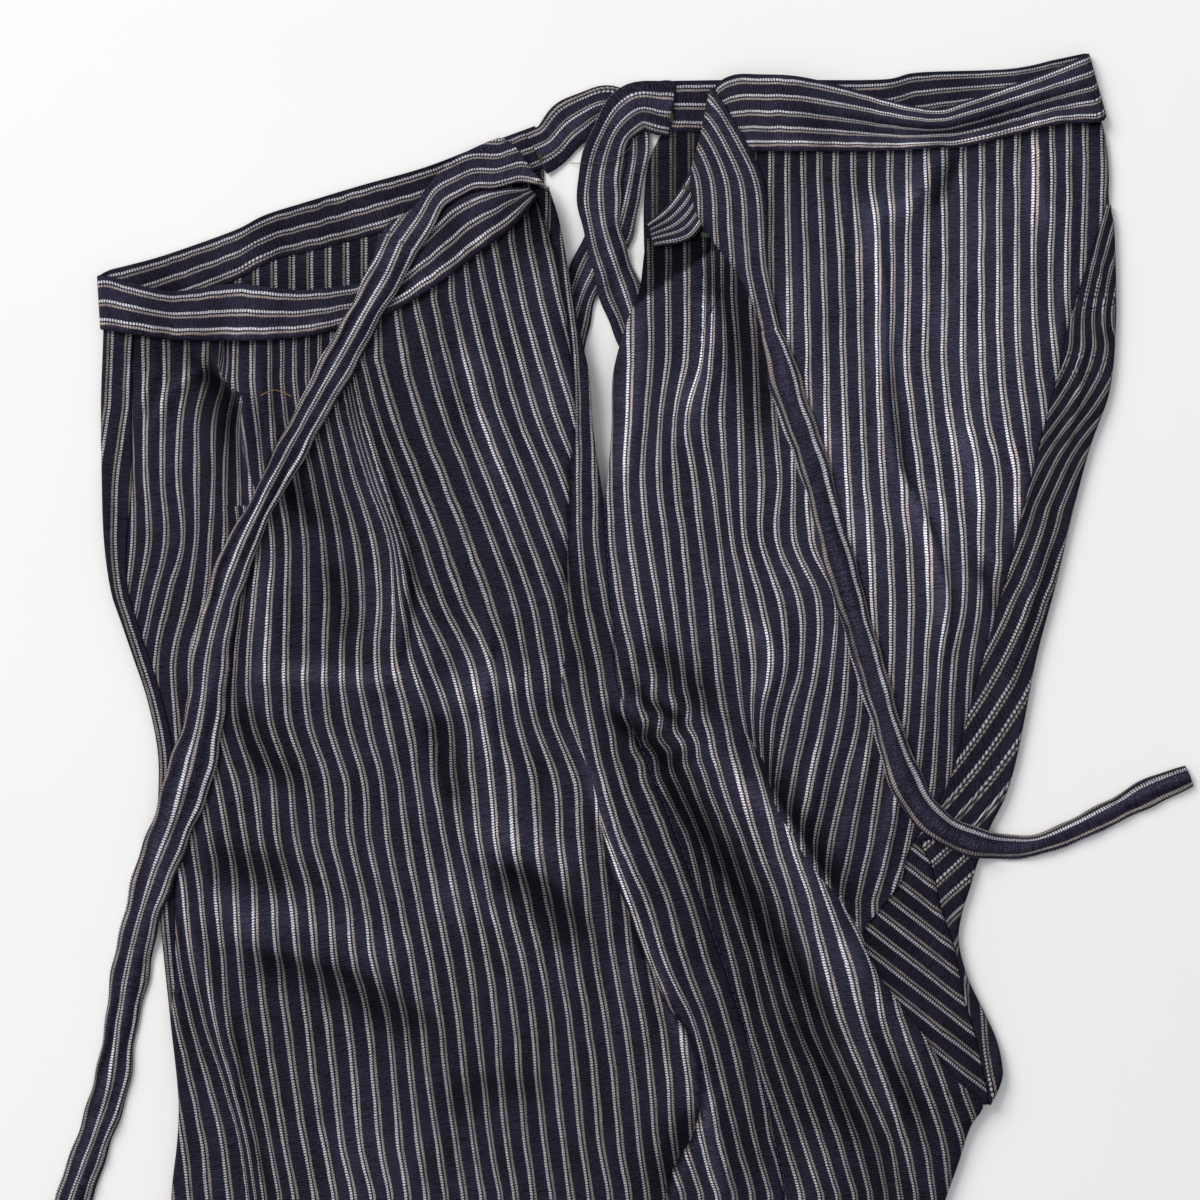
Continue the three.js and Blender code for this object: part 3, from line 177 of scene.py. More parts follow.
CREASES = [
    # front, at the waist: tucks that fan out from the band
    (2.4, 0.9, 4.5, [(208, 345), (221, 370), (231, 385), (243, 397), (246, 408), (245, 450), (254, 474)]),
    (-2.6, 5.0, 1.5, [(196, 352), (212, 374), (232, 392), (238, 410), (236, 440), (244, 470)]),
    (1.6, 1.6, 3.0, [(196, 345), (205, 366), (170, 392), (150, 430), (148, 480), (158, 528)]),
    (1.3, 2.0, 3.0, [(258, 340), (262, 390), (274, 440), (262, 490)]),
    (1.2, 1.8, 2.4, [(152, 342), (156, 370), (140, 410)]),
    (1.0, 1.4, 2.4, [(126, 338), (132, 365), (126, 400)]),
    (1.0, 2.0, 2.0, [(300, 340), (296, 380), (302, 420)]),
    (1.2, 2.4, 3.4, [(420, 300), (440, 360), (455, 420)]),
    # front, the middle: edges where the cloth laps over itself
    (2.4, 8.0, 0.9, [(372, 440), (389, 500), (403, 545), (407, 590), (403, 640), (398, 668)]),
    (-1.4, 1.6, 5.0, [(376, 440), (394, 505), (408, 555), (412, 590), (409, 640)]),
    (1.7, 5.0, 0.9, [(486, 610), (492, 640), (489, 690), (494, 740), (503, 800)]),
    (1.5, 6.0, 5.0, [(270, 678), (320, 676), (372, 682), (398, 676), (440, 700)]),
    (1.2, 7.0, 7.0, [(440, 706), (500, 684), (560, 690)]),
    (1.4, 5.0, 8.0, [(262, 560), (266, 640), (262, 700)]),
    (-1.2, 5.0, 5.0, [(285, 480), (300, 505), (330, 530)]),
    (1.2, 5.0, 7.0, [(466, 330), (480, 400), (500, 470), (516, 540)]),
    (-1.0, 6.0, 6.0, [(570, 560), (580, 630), (590, 690)]),
    # front, the dents low on the leg
    (-2.8, 9.0, 5.0, [(490, 866), (537, 889), (565, 916), (600, 945)]),
    (-1.8, 8.0, 8.0, [(205, 868), (250, 872), (300, 880)]),
    (-2.6, 9.0, 5.0, [(240, 952), (300, 972), (350, 985), (400, 1012), (440, 1032)]),
    (-1.7, 5.0, 6.0, [(434, 712), (450, 765), (464, 812)]),
    (-1.6, 6.0, 6.0, [(238, 700), (268, 765), (312, 790)]),
    (-1.2, 6.0, 6.0, [(330, 560), (350, 610), (352, 650)]),
    (-1.0, 9.0, 9.0, [(440, 1110), (500, 1090), (560, 1100)]),
    (1.2, 8.0, 8.0, [(470, 830), (540, 850), (590, 880)]),
    (1.1, 9.0, 9.0, [(230, 915), (320, 925), (420, 965)]),
    (1.2, 3.0, 3.0, [(176, 860), (192, 930), (214, 1000), (232, 1060), (250, 1130), (262, 1190)]),
    (-1.2, 2.4, 2.0, [(236, 1020), (244, 1090), (258, 1150), (276, 1200)]),
    (1.0, 2.0, 2.0, [(160, 920), (172, 980), (186, 1050)]),
    # front, the edge beside the side seam where the cloth laps over itself
    (3.2, 1.0, 10.0, [(578, 738), (600, 800), (616, 866), (635, 914), (657, 962), (676, 1025),
                      (700, 1073), (712, 1100)]),
    (-1.6, 7.0, 1.0, [(574, 760), (594, 812), (608, 866), (627, 914), (648, 962), (666, 1025),
                      (688, 1073)]),
    (2.2, 1.0, 7.0, [(712, 1100), (694, 1137), (680, 1168), (666, 1205)]),
    (-2.0, 7.0, 1.2, [(706, 1096), (688, 1137), (674, 1168), (660, 1205)]),
    (1.4, 3.0, 3.0, [(700, 1080), (716, 1140), (724, 1200)]),
    # the rumple by the side seam, and the trough below it
    (2.4, 2.4, 2.6, [(618, 690), (636, 716), (662, 728), (676, 744), (700, 752)]),
    (-2.4, 2.8, 3.0, [(612, 716), (640, 738), (664, 758), (690, 776)]),
    (2.2, 2.3, 2.8, [(650, 680), (668, 700), (690, 716), (706, 742)]),
    (-2.0, 2.6, 2.6, [(634, 680), (648, 704), (672, 716), (688, 732)]),
    (1.6, 2.3, 2.3, [(664, 758), (684, 770), (706, 776)]),
    (1.1, 2.0, 2.0, [(640, 772), (664, 790), (690, 812)]),
    (-3.0, 5.0, 5.0, [(664, 770), (690, 812), (730, 868), (764, 920), (800, 976), (838, 1040)]),
    (1.3, 2.4, 2.4, [(716, 860), (750, 912), (790, 974), (822, 1030)]),
    (1.0, 2.0, 2.0, [(690, 830), (736, 900), (780, 968)]),
    (-1.2, 4.0, 4.0, [(792, 1010), (836, 1080), (872, 1160)]),
    # back, the cloth that laps over at the crotch
    (3.4, 11.0, 1.0, [(752, 756), (773, 803), (796, 838), (813, 866), (838, 898), (856, 926)]),
    (-2.2, 1.0, 6.0, [(768, 770), (780, 800), (802, 836), (820, 866), (844, 896)]),
    (1.0, 3.0, 3.0, [(820, 740), (812, 790), (806, 826)]),
    (1.0, 3.0, 3.0, [(868, 740), (852, 800), (838, 860)]),
    (1.0, 2.6, 2.6, [(905, 760), (888, 820), (876, 890)]),
    (1.4, 7.0, 4.0, [(800, 930), (846, 1010), (884, 1090), (930, 1190)]),
    (-1.0, 4.0, 4.0, [(866, 1000), (896, 1070), (926, 1130)]),
    # back, the seat
    (2.2, 5.0, 1.0, [(884, 190), (878, 240), (884, 300), (884, 360), (888, 410), (896, 470),
                     (914, 500), (932, 545), (943, 590), (944, 640), (938, 680)]),
    (-1.2, 1.4, 4.0, [(889, 300), (890, 400), (902, 470), (922, 505), (940, 550), (950, 600),
                      (948, 660)]),
    (1.6, 2.4, 2.4, [(936, 156), (926, 184), (906, 212)]),
    (-1.4, 3.0, 3.0, [(960, 156), (944, 186), (930, 214)]),
    (1.6, 2.4, 2.4, [(1036, 134), (1040, 190), (1046, 240)]),
    (1.0, 2.0, 2.4, [(1066, 150), (1070, 230), (1060, 320), (1056, 370)]),
    (1.0, 2.0, 2.0, [(842, 160), (846, 215), (838, 280)]),
    (1.0, 2.0, 2.0, [(790, 160), (796, 230), (800, 320)]),
    (-2.6, 8.0, 7.0, [(716, 262), (736, 300), (752, 350), (764, 400), (772, 440)]),
    (1.8, 8.0, 6.0, [(706, 290), (716, 330), (700, 385), (690, 430)]),
    (1.4, 2.0, 3.0, [(775, 420), (792, 450), (810, 500), (828, 560), (846, 600)]),
    (1.3, 5.0, 5.0, [(960, 420), (975, 480), (985, 530)]),
    (2.0, 1.8, 3.0, [(984, 545), (992, 560), (1006, 572)]),
    (-1.4, 3.0, 3.0, [(975, 566), (996, 590), (998, 620)]),
    (1.0, 3.0, 3.0, [(1010, 430), (1022, 480), (1018, 530)]),
    (1.6, 6.0, 6.0, [(750, 620), (775, 660), (756, 712)]),
    (-1.4, 6.0, 6.0, [(640, 640), (700, 690), (720, 712)]),
    (1.2, 6.0, 4.0, [(642, 300), (640, 360), (630, 440), (628, 500)]),
    # gussets
    (1.0, 2.0, 2.0, [(1086, 330), (1076, 400), (1060, 460)]),
    (1.0, 2.0, 2.0, [(1090, 250), (1104, 300), (1100, 350)]),
    (0.9, 3.0, 3.0, [(1048, 520), (1024, 620), (1004, 700)]),
    (1.2, 2.0, 2.0, [(922, 852), (934, 900), (950, 960), (972, 1040)]),
    (-1.2, 2.6, 2.6, [(965, 960), (986, 1020), (990, 1070)]),
    (1.0, 3.0, 3.0, [(890, 925), (926, 950), (962, 1000)]),
    (1.0, 3.0, 3.0, [(930, 1010), (956, 1050), (978, 1082)]),
]

# ---------------------------------------------------------------------------------------------
# guide threads: stripe number, then rows of (down, x) in steps

FRONT_THREADS = {
    -4: [(380, 110), (480, 117), (540, 115), (600, 113), (680, 100), (900, 118), (1080, 152), (1190, 168)],
    -2: [(380, 142), (480, 144), (540, 146), (600, 136), (680, 122), (780, 132), (900, 152), (1020, 175),
         (1140, 200), (1190, 205)],
    0: [(380, 184), (420, 178), (480, 176), (540, 181), (600, 165), (660, 153), (720, 155), (780, 163),
        (840, 172), (900, 183), (960, 190), (1020, 203), (1080, 223), (1140, 240), (1190, 247)],
    2: [(380, 222), (420, 212), (480, 212), (540, 208), (600, 203), (660, 188), (720, 192), (780, 197),
        (840, 208), (900, 215), (960, 221), (1020, 226), (1080, 240), (1140, 254), (1190, 262)],
    4: [(380, 212), (420, 222), (480, 232), (540, 238), (600, 230), (660, 223), (720, 216), (780, 232),
        (840, 243), (900, 252), (960, 255), (1020, 263), (1080, 272), (1140, 282), (1190, 292)],
    6: [(380, 233), (420, 240), (480, 248), (540, 257), (600, 252), (660, 246), (720, 249), (780, 269),
        (840, 275), (900, 289), (960, 296), (1020, 305), (1080, 312), (1140, 322), (1190, 332)],
    8: [(380, 268), (420, 270), (480, 276), (540, 285), (600, 284), (660, 283), (720, 286), (780, 304),
        (840, 312), (900, 327), (960, 332), (1020, 345), (1080, 352), (1140, 358), (1190, 370)],
    10: [(380, 293), (420, 298), (480, 311), (540, 320), (600, 323), (660, 322), (720, 325), (780, 343),
         (840, 348), (900, 362), (960, 371), (1020, 385), (1080, 392), (1140, 397), (1190, 405)],
    12: [(380, 318), (420, 325), (480, 338), (540, 353), (600, 360), (660, 356), (720, 364), (780, 379),
         (840, 385), (900, 397), (960, 409), (1020, 419), (1080, 426), (1140, 435), (1190, 442)],
    14: [(380, 342), (420, 350), (480, 368), (540, 389), (600, 394), (660, 392), (720, 404), (780, 414),
         (840, 423), (900, 434), (960, 446), (1020, 456), (1080, 462), (1140, 471), (1190, 479)],
    15: [(360, 343), (420, 354), (480, 372), (540, 393), (600, 401), (660, 409), (720, 427), (780, 431),
         (840, 442), (900, 454), (960, 466), (1020, 474), (1080, 481), (1140, 488), (1190, 497)],
    16: [(360, 345), (420, 358), (480, 376), (540, 397), (600, 407), (660, 425), (720, 447), (780, 450),
         (840, 459), (900, 473), (960, 485), (1020, 493), (1080, 497), (1140, 504), (1190, 512)],
    17: [(360, 348), (420, 362), (480, 381), (540, 401), (600, 419), (660, 446), (720, 464), (780, 470),
         (840, 477), (900, 488), (960, 503), (1020, 512), (1080, 517), (1140, 523), (1190, 530)],
    19: [(360, 374), (420, 391), (480, 414), (540, 437), (600, 458), (660, 487), (720, 497), (780, 507),
         (840, 511), (900, 523), (960, 538), (1020, 548), (1080, 553), (1140, 560), (1190, 567)],
    21: [(300, 412), (360, 426), (420, 443), (480, 466), (540, 489), (600, 510), (660, 522), (720, 532),
         (780, 552), (840, 557), (900, 565), (960, 574), (1020, 584), (1080, 592), (1140, 597), (1190, 606)],
    23: [(300, 449), (360, 463), (420, 480), (480, 503), (540, 526), (600, 547), (660, 559), (720, 568),
         (780, 593), (840, 597), (900, 603), (960, 611), (1020, 622), (1080, 630), (1140, 636), (1190, 643)],
    25: [(240, 472), (300, 485), (360, 500), (420, 517), (480, 541), (540, 563), (600, 583), (720, 605),
         (840, 633), (960, 646), (1020, 658), (1080, 666), (1140, 670), (1190, 680)],
    27: [(240, 508), (300, 520), (360, 536), (420, 554), (480, 578), (600, 618), (900, 680), (1190, 716)],
    29: [(200, 535), (300, 556), (360, 572), (420, 590), (900, 716), (1190, 752)],
}
# the front to the left of the tuck at the waist
TUCK_THREADS = {
    **{number: FRONT_THREADS[number] for number in (-4, -2, 0, 2)},
    3: [(380, 236), (420, 227), (480, 223), (540, 225)],
    4: [(380, 250), (420, 238), (480, 238), (540, 238)],
    5: [(400, 252), (480, 250), (540, 253)],
}
TUCK = [(335, 206), (346, 210), (370, 221), (385, 231), (394, 242), (406, 246), (416, 244), (450, 246),
        (474, 251), (500, 262), (530, 285), (560, 320)]
# the front beside the slit and, below it, between its lapped edge and the side seam
FRONT_LAP_THREADS = {
    22: [(240, 515), (600, 530), (720, 548), (1020, 650), (1080, 675), (1140, 682), (1190, 697)],
    23: [(240, 530), (600, 547), (720, 568), (1020, 670), (1080, 690), (1140, 699), (1190, 714)],
    24: [(240, 545), (360, 560), (600, 565), (660, 577), (720, 587), (780, 600), (840, 617), (900, 643),
         (960, 662), (1020, 690), (1080, 705), (1140, 716), (1190, 730)],
    25: [(240, 560), (300, 567), (360, 574), (480, 576), (540, 577), (600, 583), (660, 595), (720, 605),
         (780, 618), (840, 640), (900, 664), (960, 680), (1020, 703), (1080, 719), (1140, 734), (1190, 748)],
    26: [(240, 572), (300, 580), (360, 587), (480, 592), (540, 593), (600, 602), (660, 615), (720, 624),
         (780, 640), (840, 663), (900, 685), (960, 703), (1020, 723), (1080, 738), (1140, 752), (1190, 766)],
    27: [(240, 587), (420, 606), (540, 608), (600, 617), (660, 632), (720, 642), (780, 662), (840, 685),
         (900, 707), (960, 723), (1020, 742), (1080, 757), (1140, 768), (1190, 783)],
}
FRONT_LAP = [(180, 530), (200, 536), (244, 553), (306, 565), (340, 569), (374, 573), (435, 576), (463, 570),
             (511, 569), (587, 567), (615, 568), (650, 566), (690, 562), (735, 576), (760, 586), (800, 598),
             (866, 610), (892, 621), (914, 631), (944, 640), (971, 653), (1005, 670), (1036, 690),
             (1074, 699), (1111, 699), (1139, 690), (1166, 674), (1200, 664)]
RETURN_DRIFT = [(110, 8.8), (168, 8.8), (181, 7.1), (202, 4), (219, 3), (235, 1.9), (300, 0.4), (930, 0)]
BACK_THREADS = {
    -1: [(240, 606), (420, 607), (480, 607), (540, 609), (600, 617), (660, 630), (720, 640), (780, 657),
         (840, 685), (900, 700), (960, 712), (1020, 727), (1080, 745), (1140, 765), (1190, 778)],
    1: [(300, 647), (360, 647), (420, 643), (480, 639), (540, 645), (600, 655), (660, 665), (720, 672),
        (780, 689), (840, 712), (900, 728), (960, 747), (1020, 762), (1080, 780), (1140, 800), (1190, 816)],
    3: [(300, 683), (360, 682), (420, 672), (480, 672), (540, 680), (600, 686), (660, 693), (720, 702),
        (780, 718), (840, 740), (900, 760), (960, 773), (1020, 791), (1080, 815), (1140, 835), (1190, 850)],
    4: [(300, 703), (360, 700), (420, 684), (480, 691), (540, 698), (600, 707), (660, 713), (720, 722),
        (780, 735), (840, 753), (900, 775), (960, 789), (1020, 807), (1080, 831), (1140, 852), (1190, 866)],
    5: [(300, 711), (360, 708), (420, 700), (480, 709), (540, 717), (600, 724), (660, 733), (720, 742),
        (780, 757), (840, 772), (900, 790), (960, 807), (1020, 821), (1080, 847), (1140, 871), (1190, 882)],
    7: [(300, 730), (360, 735), (480, 738), (540, 742), (600, 757), (660, 767), (720, 759), (780, 762)],
    9: [(180, 768), (300, 768), (420, 772), (480, 777), (540, 774), (600, 796), (660, 798), (720, 784),
        (780, 774), (840, 768)],
    11: [(180, 800), (300, 803), (420, 805), (540, 808), (600, 833), (660, 830), (720, 820), (780, 807),
         (840, 797)],
    13: [(180, 832), (240, 836), (300, 838), (420, 841), (540, 847), (600, 851), (660, 857), (720, 855),
         (780, 841), (840, 828), (900, 820)],
    15: [(180, 867), (240, 873), (360, 875), (480, 879), (540, 885), (660, 888), (720, 884), (780, 876),
         (840, 867), (900, 854)],
    17: [(180, 905), (300, 903), (360, 902), (420, 909), (480, 917), (540, 923), (600, 926), (660, 923),
         (720, 920), (780, 914), (840, 905), (900, 888)],
    19: [(180, 940), (300, 941), (360, 940), (420, 946), (480, 954), (600, 960), (660, 950), (780, 945),
         (840, 935)],
    21: [(180, 978), (360, 978), (420, 983), (480, 995), (600, 992), (660, 985), (780, 975)],
    23: [(180, 1013), (300, 1013), (360, 1015), (420, 1022), (480, 1030), (600, 1030)],
    25: [(180, 1048), (300, 1047), (360, 1052), (420, 1060)],
    27: [(180, 1082), (300, 1080), (400, 1092)],
}
# the back below the edge that laps over beside the crotch
BACK_LAP_THREADS = {
    **{number: BACK_THREADS[number] for number in (-1, 1, 3, 4, 5)},
    6: [(720, 757), (780, 770), (840, 787), (900, 807), (960, 820), (1020, 838), (1080, 862), (1140, 887),
        (1190, 896)],
    7: [(720, 772), (780, 785), (840, 802), (900, 823), (960, 842), (1020, 858), (1080, 880), (1140, 900),
        (1190, 912)],
    8: [(720, 787), (840, 817), (900, 838), (960, 866), (1020, 878), (1080, 900), (1140, 920), (1190, 929)],
    10: [(720, 820), (840, 850), (900, 872), (960, 895), (1020, 915), (1080, 938), (1140, 958), (1190, 963)],
}
BACK_LAP = [(700, 735), (730, 745), (765, 765), (781, 768), (811, 776), (837, 793), (854, 802), (878, 820),
            (895, 836), (921, 853), (960, 880), (1000, 930), (1060, 1000), (1200, 1100)]

# ---------------------------------------------------------------------------------------------
# curves


def smooth(start, end, value):
    """3t² − 2t³, with t the share of the way from start to end, held at 0 and 1."""
    share = np.clip((value - start) / (end - start), 0, 1)
    return share * share * (3 - 2 * share)


def mix(first, second, share):
    """first + (second − first) × share."""
    return first + (second - first) * share


def along(rows, at, column=1, key=0):
    """Cubic through the rows: each row's slope is that between its neighbours; held at both ends."""
    table = np.asarray(rows, float)
    keys, values = table[:, key], table[:, column]
    last = len(keys) - 1
    before = np.maximum(np.arange(last + 1) - 1, 0)
    after = np.minimum(np.arange(last + 1) + 1, last)
    slope = (values[after] - values[before]) / (keys[after] - keys[before])
    place_at = np.clip(at, keys[0], keys[-1])
    i = np.clip(np.searchsorted(keys, place_at, side="right") - 1, 0, last - 1)
    span = keys[i + 1] - keys[i]
    t = (place_at - keys[i]) / span
    return (values[i] * (2 * t**3 - 3 * t**2 + 1) + slope[i] * span * (t**3 - 2 * t**2 + t)
            + values[i + 1] * (3 * t**2 - 2 * t**3) + slope[i + 1] * span * (t**3 - t**2))


def evenly(rows, count):
    """The rows' columns at `count` places spaced evenly by length along the course of the first two."""
    table = np.asarray(rows, float)
    stations = np.arange(len(table), dtype=float)
    fine = np.linspace(0, len(table) - 1, len(table) * 30)
    keyed = np.column_stack([stations, table])
    dense = np.column_stack([along(keyed, fine, column + 1) for column in range(table.shape[1])])
    length = np.concatenate([[0], np.cumsum(np.hypot(*np.diff(dense[:, :2], axis=0).T))])
    even = np.linspace(0, length[-1], count)
    return np.column_stack([np.interp(even, length, dense[:, c]) for c in range(table.shape[1])]), even


def relief(table, x, down, unit=1.0):
    """Sum over creases of rise × fade × exp(−(distance ÷ spread)²), the spread that of the nearer side."""
    total = np.zeros(np.shape(x))
    for rise, left, right, course in table:
        points = np.asarray(course, float) * unit
        nearest = np.full(np.shape(x), np.inf)
        spread = np.full(np.shape(x), float(left))
        station = np.zeros(np.shape(x))
        for i, (start, end) in enumerate(zip(points, points[1:])):
            run = end - start
            off_x, off_down = x - start[0], down - start[1]
            share = np.clip((off_x * run[0] + off_down * run[1]) / (run @ run), 0, 1)
            off_x, off_down = off_x - run[0] * share, off_down - run[1] * share
            distance = np.hypot(off_x, off_down)
            closer = distance < nearest
            side = np.where(off_x * run[1] - off_down * run[0] > 0, right, left)
            nearest = np.where(closer, distance, nearest)
            spread = np.where(closer, side, spread)
            station = np.where(closer, (i + share) / (len(points) - 1), station)
        fade = 0.25 + 0.75 * smooth(0, 0.2, station) * smooth(1, 0.75, station)
        total += rise * fade * np.exp(-((nearest / spread) ** 2))
    return total


SOFT_CREASES = [crease for crease in CREASES if min(crease[1], crease[2]) > 2.5]
EDGED_CREASES = [crease for crease in CREASES if min(crease[1], crease[2]) <= 2.5]
RIPPLES = np.random.default_rng(7).uniform(-1, 1, (26, 4))


def ripple(x, down):
    """Slight unevenness of worn cloth: a sum of sine waves 9 to 40 mm long, in seeded directions."""
    total = np.zeros(np.shape(x))
    for along_x, along_down, phase, size in RIPPLES:
        length = 9 + 31 * abs(size)
        turn = math.pi * along_x
        wave = (x * math.cos(turn) * 1.3 + down * math.sin(turn) * 0.7) / length
        total += np.sin(2 * math.pi * wave + 6 * phase) * length * 0.0011
    return total


def lift(x, down):
    """Middle of the upper layer over the table: the lay, a crown 40 mm in from its edges, and creases."""
    lay = mix(UPPER_SEAT, UPPER_LEG, smooth(LEG_FROM, LEG_FULL, down))
    inward = np.clip(np.minimum(x - along(OUTLINE_LEFT, down), along(OUTLINE_RIGHT, down) - x) / 40, 0, 1)
    calm = 1 - smooth(HEM_FROM - 90, HEM_FROM - 10, down)
    height = CROWN * smooth(0, 1, inward) + 1.15 * relief(FOLDS, x, down)
    height += 1.5 * relief(CREASES, x, down, STEP) + 1.3 * relief(SOFT_CREASES, x, down, STEP)
    height = np.where(height > 0, height, height / (1 - height / 2.4))
    return lay + calm * np.maximum(height + ripple(x, down) * (0.3 + 1.6 * inward), -1.7)


def rolled(height, rim, inside):
    """Height near a folded edge: a quarter of an ellipse, ROLL wide, down to the rim."""
    share = np.clip(1 - inside / ROLL, 0, 1)
    return rim + (height - rim) * np.sqrt(1 - share**2)


# ---------------------------------------------------------------------------------------------
# stripes on the cloth


def threads(guides, x, down):
    """Stripe count: linear between neighbouring guide threads, one per stripe's width outside them.
    Below the tables the threads swing from leaning right to following the leg."""
    row = down / STEP
    below = np.maximum(down - 1190 * STEP, 0)
    swing = -0.13 * below + 17.5 * (1 - np.exp(-below / 70))
    numbers = sorted(guides)
    courses = [along(guides[number], row) * STEP + swing for number in numbers]
    count = numbers[0] + np.minimum(x - courses[0], 0) / STRIPE
    reached = courses[0]
    for lower, upper, left, right in zip(numbers, numbers[1:], courses, courses[1:]):
        left = np.maximum(left, reached)
        gap = np.maximum(right - left, 0.5)
        count = count + (upper - lower) * np.clip((x - left) / gap, 0, 1)
        reached = np.maximum(left + gap, reached)
    return count + np.maximum(x - reached, 0) / STRIPE


def wobble(x, down):
    """How far a stripe strays from its thread's course, in mm."""
    near = np.exp(-(((x - 278) / 16) ** 2 + ((down - 308) / 17) ** 2))
    return ripple(x * 2.6, down * 1.9) * 0.9 + near * 1.5 * np.sin(down / 2.9 + x / 7)


def crowded(across, x):
    """Painted shade: 1 where stripes lie at least half as close as on flat cloth, falling where they are drawn apart.
    """
    density = np.gradient(across, axis=1) / np.maximum(np.gradient(x, axis=1), 0.05)
    return 0.4 + 0.6 * smooth(0.25, 0.62, density)


def lapped(line, x, down):
    """Distance to the right of a line of (down, x) steps that follows the leg below the table."""
    return x - along(line, down / STEP) * STEP + 0.2 * np.maximum(down - 1200 * STEP, 0)


LIT = [  # painted light and painted shade spots, lighter above 0 and darker below: amount, x, down, reach across, reach down, in steps
    (0.72, 975, 330, 140, 220), (0.42, 800, 560, 140, 170), (0.30, 175, 430, 60, 70),
    (-0.40, 850, 1120, 150, 150), (-0.22, 300, 420, 110, 60), (-0.20, 240, 1010, 90, 90),
    (0.12, 560, 480, 70, 160), (-0.35, 672, 745, 45, 60), (0.20, 700, 400, 70, 90),
    (-0.30, 735, 880, 60, 90), (-0.25, 330, 500, 50, 60), (0.10, 400, 800, 200, 90),
    (-0.22, 560, 905, 60, 40), (0.2, 1000, 560, 60, 120), (-0.8, 212, 385, 20, 34),
    (-0.7, 232, 408, 16, 22), (-0.9, 532, 212, 32, 50),
    (-0.35, 165, 350, 60, 16), (-0.55, 655, 715, 30, 42), (-0.25, 745, 700, 30, 60),
    (-0.3, 255, 470, 40, 60), (-0.3, 790, 970, 50, 100), (-0.5, 712, 830, 34, 60),
]


def painted_spots(x, down):
    """Painted light and shade: sum of the spots' bells, each its amount at its own centre."""
    spots = np.zeros(np.shape(x))
    for amount, centre, depth, across, length in LIT:
        off = ((x / STEP - centre) / across) ** 2 + ((down / STEP - depth) / length) ** 2
        spots += amount * np.exp(-off)
    return spots


def crease_shading(x, down):
    """Painted light and shade: 1 for plain cloth, raised on the creases' crests and lowered in their troughs, where
    shade falls, and by the painted spots.
    """
    edged = relief(EDGED_CREASES, x, down, STEP)
    height = relief(SOFT_CREASES, x, down, STEP) + 0.3 * relief(FOLDS, x, down)
    height = height + np.where(edged < 0, 1.2, 0.25) * edged
    crease_shade = np.tanh(height / 2.1 - 0.16)
    return 0.88 * np.exp(painted_spots(x, down) + np.where(crease_shade < 0, 1.15, 0.85) * crease_shade)


# ---------------------------------------------------------------------------------------------
# materials


class Wire:
    """A socket in a formula: arithmetic on it adds Math nodes to its material."""

    def __init__(self, surface, socket):
        self.surface = surface
        self.socket = socket

    def math(self, operation, *others, clamp=False):
        inputs = dict(enumerate((self, *others)))
        return self.surface.node("Math", {"operation": operation, "use_clamp": clamp}, inputs)

    def __add__(self, other):
        return self.math("ADD", other)

    def __sub__(self, other):
        return self.math("SUBTRACT", other)

    def __mul__(self, other):
        return self.math("MULTIPLY", other)

    def __truediv__(self, other):
        return self.math("DIVIDE", other)

    def __rsub__(self, other):
        return (self * -1.0) + other

    def __rtruediv__(self, other):
        return self.math("POWER", -1.0) * other

    __radd__ = __add__
    __rmul__ = __mul__

    def fract(self):
        return self.math("FRACT")

    def sine(self):
        return self.math("SINE")

    def size(self):
        return self.math("ABSOLUTE")

    def held(self):
        return self.math("ADD", 0.0, clamp=True)

    def line(self, middle, half, soft):
        """1 within `half` of the middle, 0 outside, over a slope `soft` wide."""
        return (((self - middle).size() * -1.0 + half) / soft + 0.5).held()


class Surface:
    """A material and the one way nodes are added to it."""

    def __init__(self, name, roughness=1.0, sheen=0.015):
        self.material = bpy.data.materials.new(name)
        self.material.use_nodes = True
        self.tree = self.material.node_tree
        self.shader = self.tree.nodes["Principled BSDF"]
        self.shader.inputs["Roughness"].default_value = roughness
        self.shader.inputs["Sheen Weight"].default_value = sheen
        self.shader.inputs["Sheen Roughness"].default_value = 0.55
        self.shader.inputs["Specular IOR Level"].default_value = 0.015

    def node(self, kind, settings=None, inputs=None, output=0):
        """Adds a ShaderNode: settings first, then values or links for the named or counted sockets."""
        node = self.tree.nodes.new("ShaderNode" + kind)
        for name, value in (settings or {}).items():
            setattr(node, name, value)
        for name, value in (inputs or {}).items():
            if isinstance(value, Wire):
                self.tree.links.new(value.socket, node.inputs[name])
            else:
                node.inputs[name].default_value = value
        return Wire(self, node.outputs[output])

    def cloth(self):
        """The piece's own cloth coordinates, metres across and along the warp."""
        place = self.node("UVMap", {"uv_map": "cloth"})
        parts = self.node("SeparateXYZ", None, {0: place})
        return place, parts, Wire(self, parts.socket.node.outputs[1])

    def grain(self, place, across, along_warp, detail=3.0, roughness=0.55):
        """Noise from 0 to 1 with so many grains a metre across and along the warp."""
        scaled = self.node("Mapping", None, {"Vector": place, "Scale": (across, along_warp, 1.0)})
        inputs = {"Vector": scaled, "Scale": 1.0, "Detail": detail, "Roughness": roughness}
        return self.node("TexNoise", {"noise_dimensions": "2D"}, inputs)

    def blend(self, factor, first, second):
        """Colour between two, each a colour or a wire."""
        inputs = {0: factor, 6: first, 7: second}
        return self.node("Mix", {"data_type": "RGBA"}, inputs, output=2)

    def finish(self, color, height, strength, distance):
        self.tree.links.new(color.socket, self.shader.inputs["Base Color"])
        inputs = {"Strength": strength, "Distance": distance, "Height": height}
        bump = self.node("Bump", None, inputs)
        self.tree.links.new(bump.socket, self.shader.inputs["Normal"])
        return self.material


def shade(code, level=1.0):
    """Linear colour of a hex code, times a level."""
    parts = [int(code[i:i + 2], 16) / 255 for i in (0, 2, 4)]
    linear = [c / 12.92 if c <= 0.04045 else ((c + 0.055) / 1.055) ** 2.4 for c in parts]
    return (*[min(c * level, 1.0) for c in linear], 1.0)


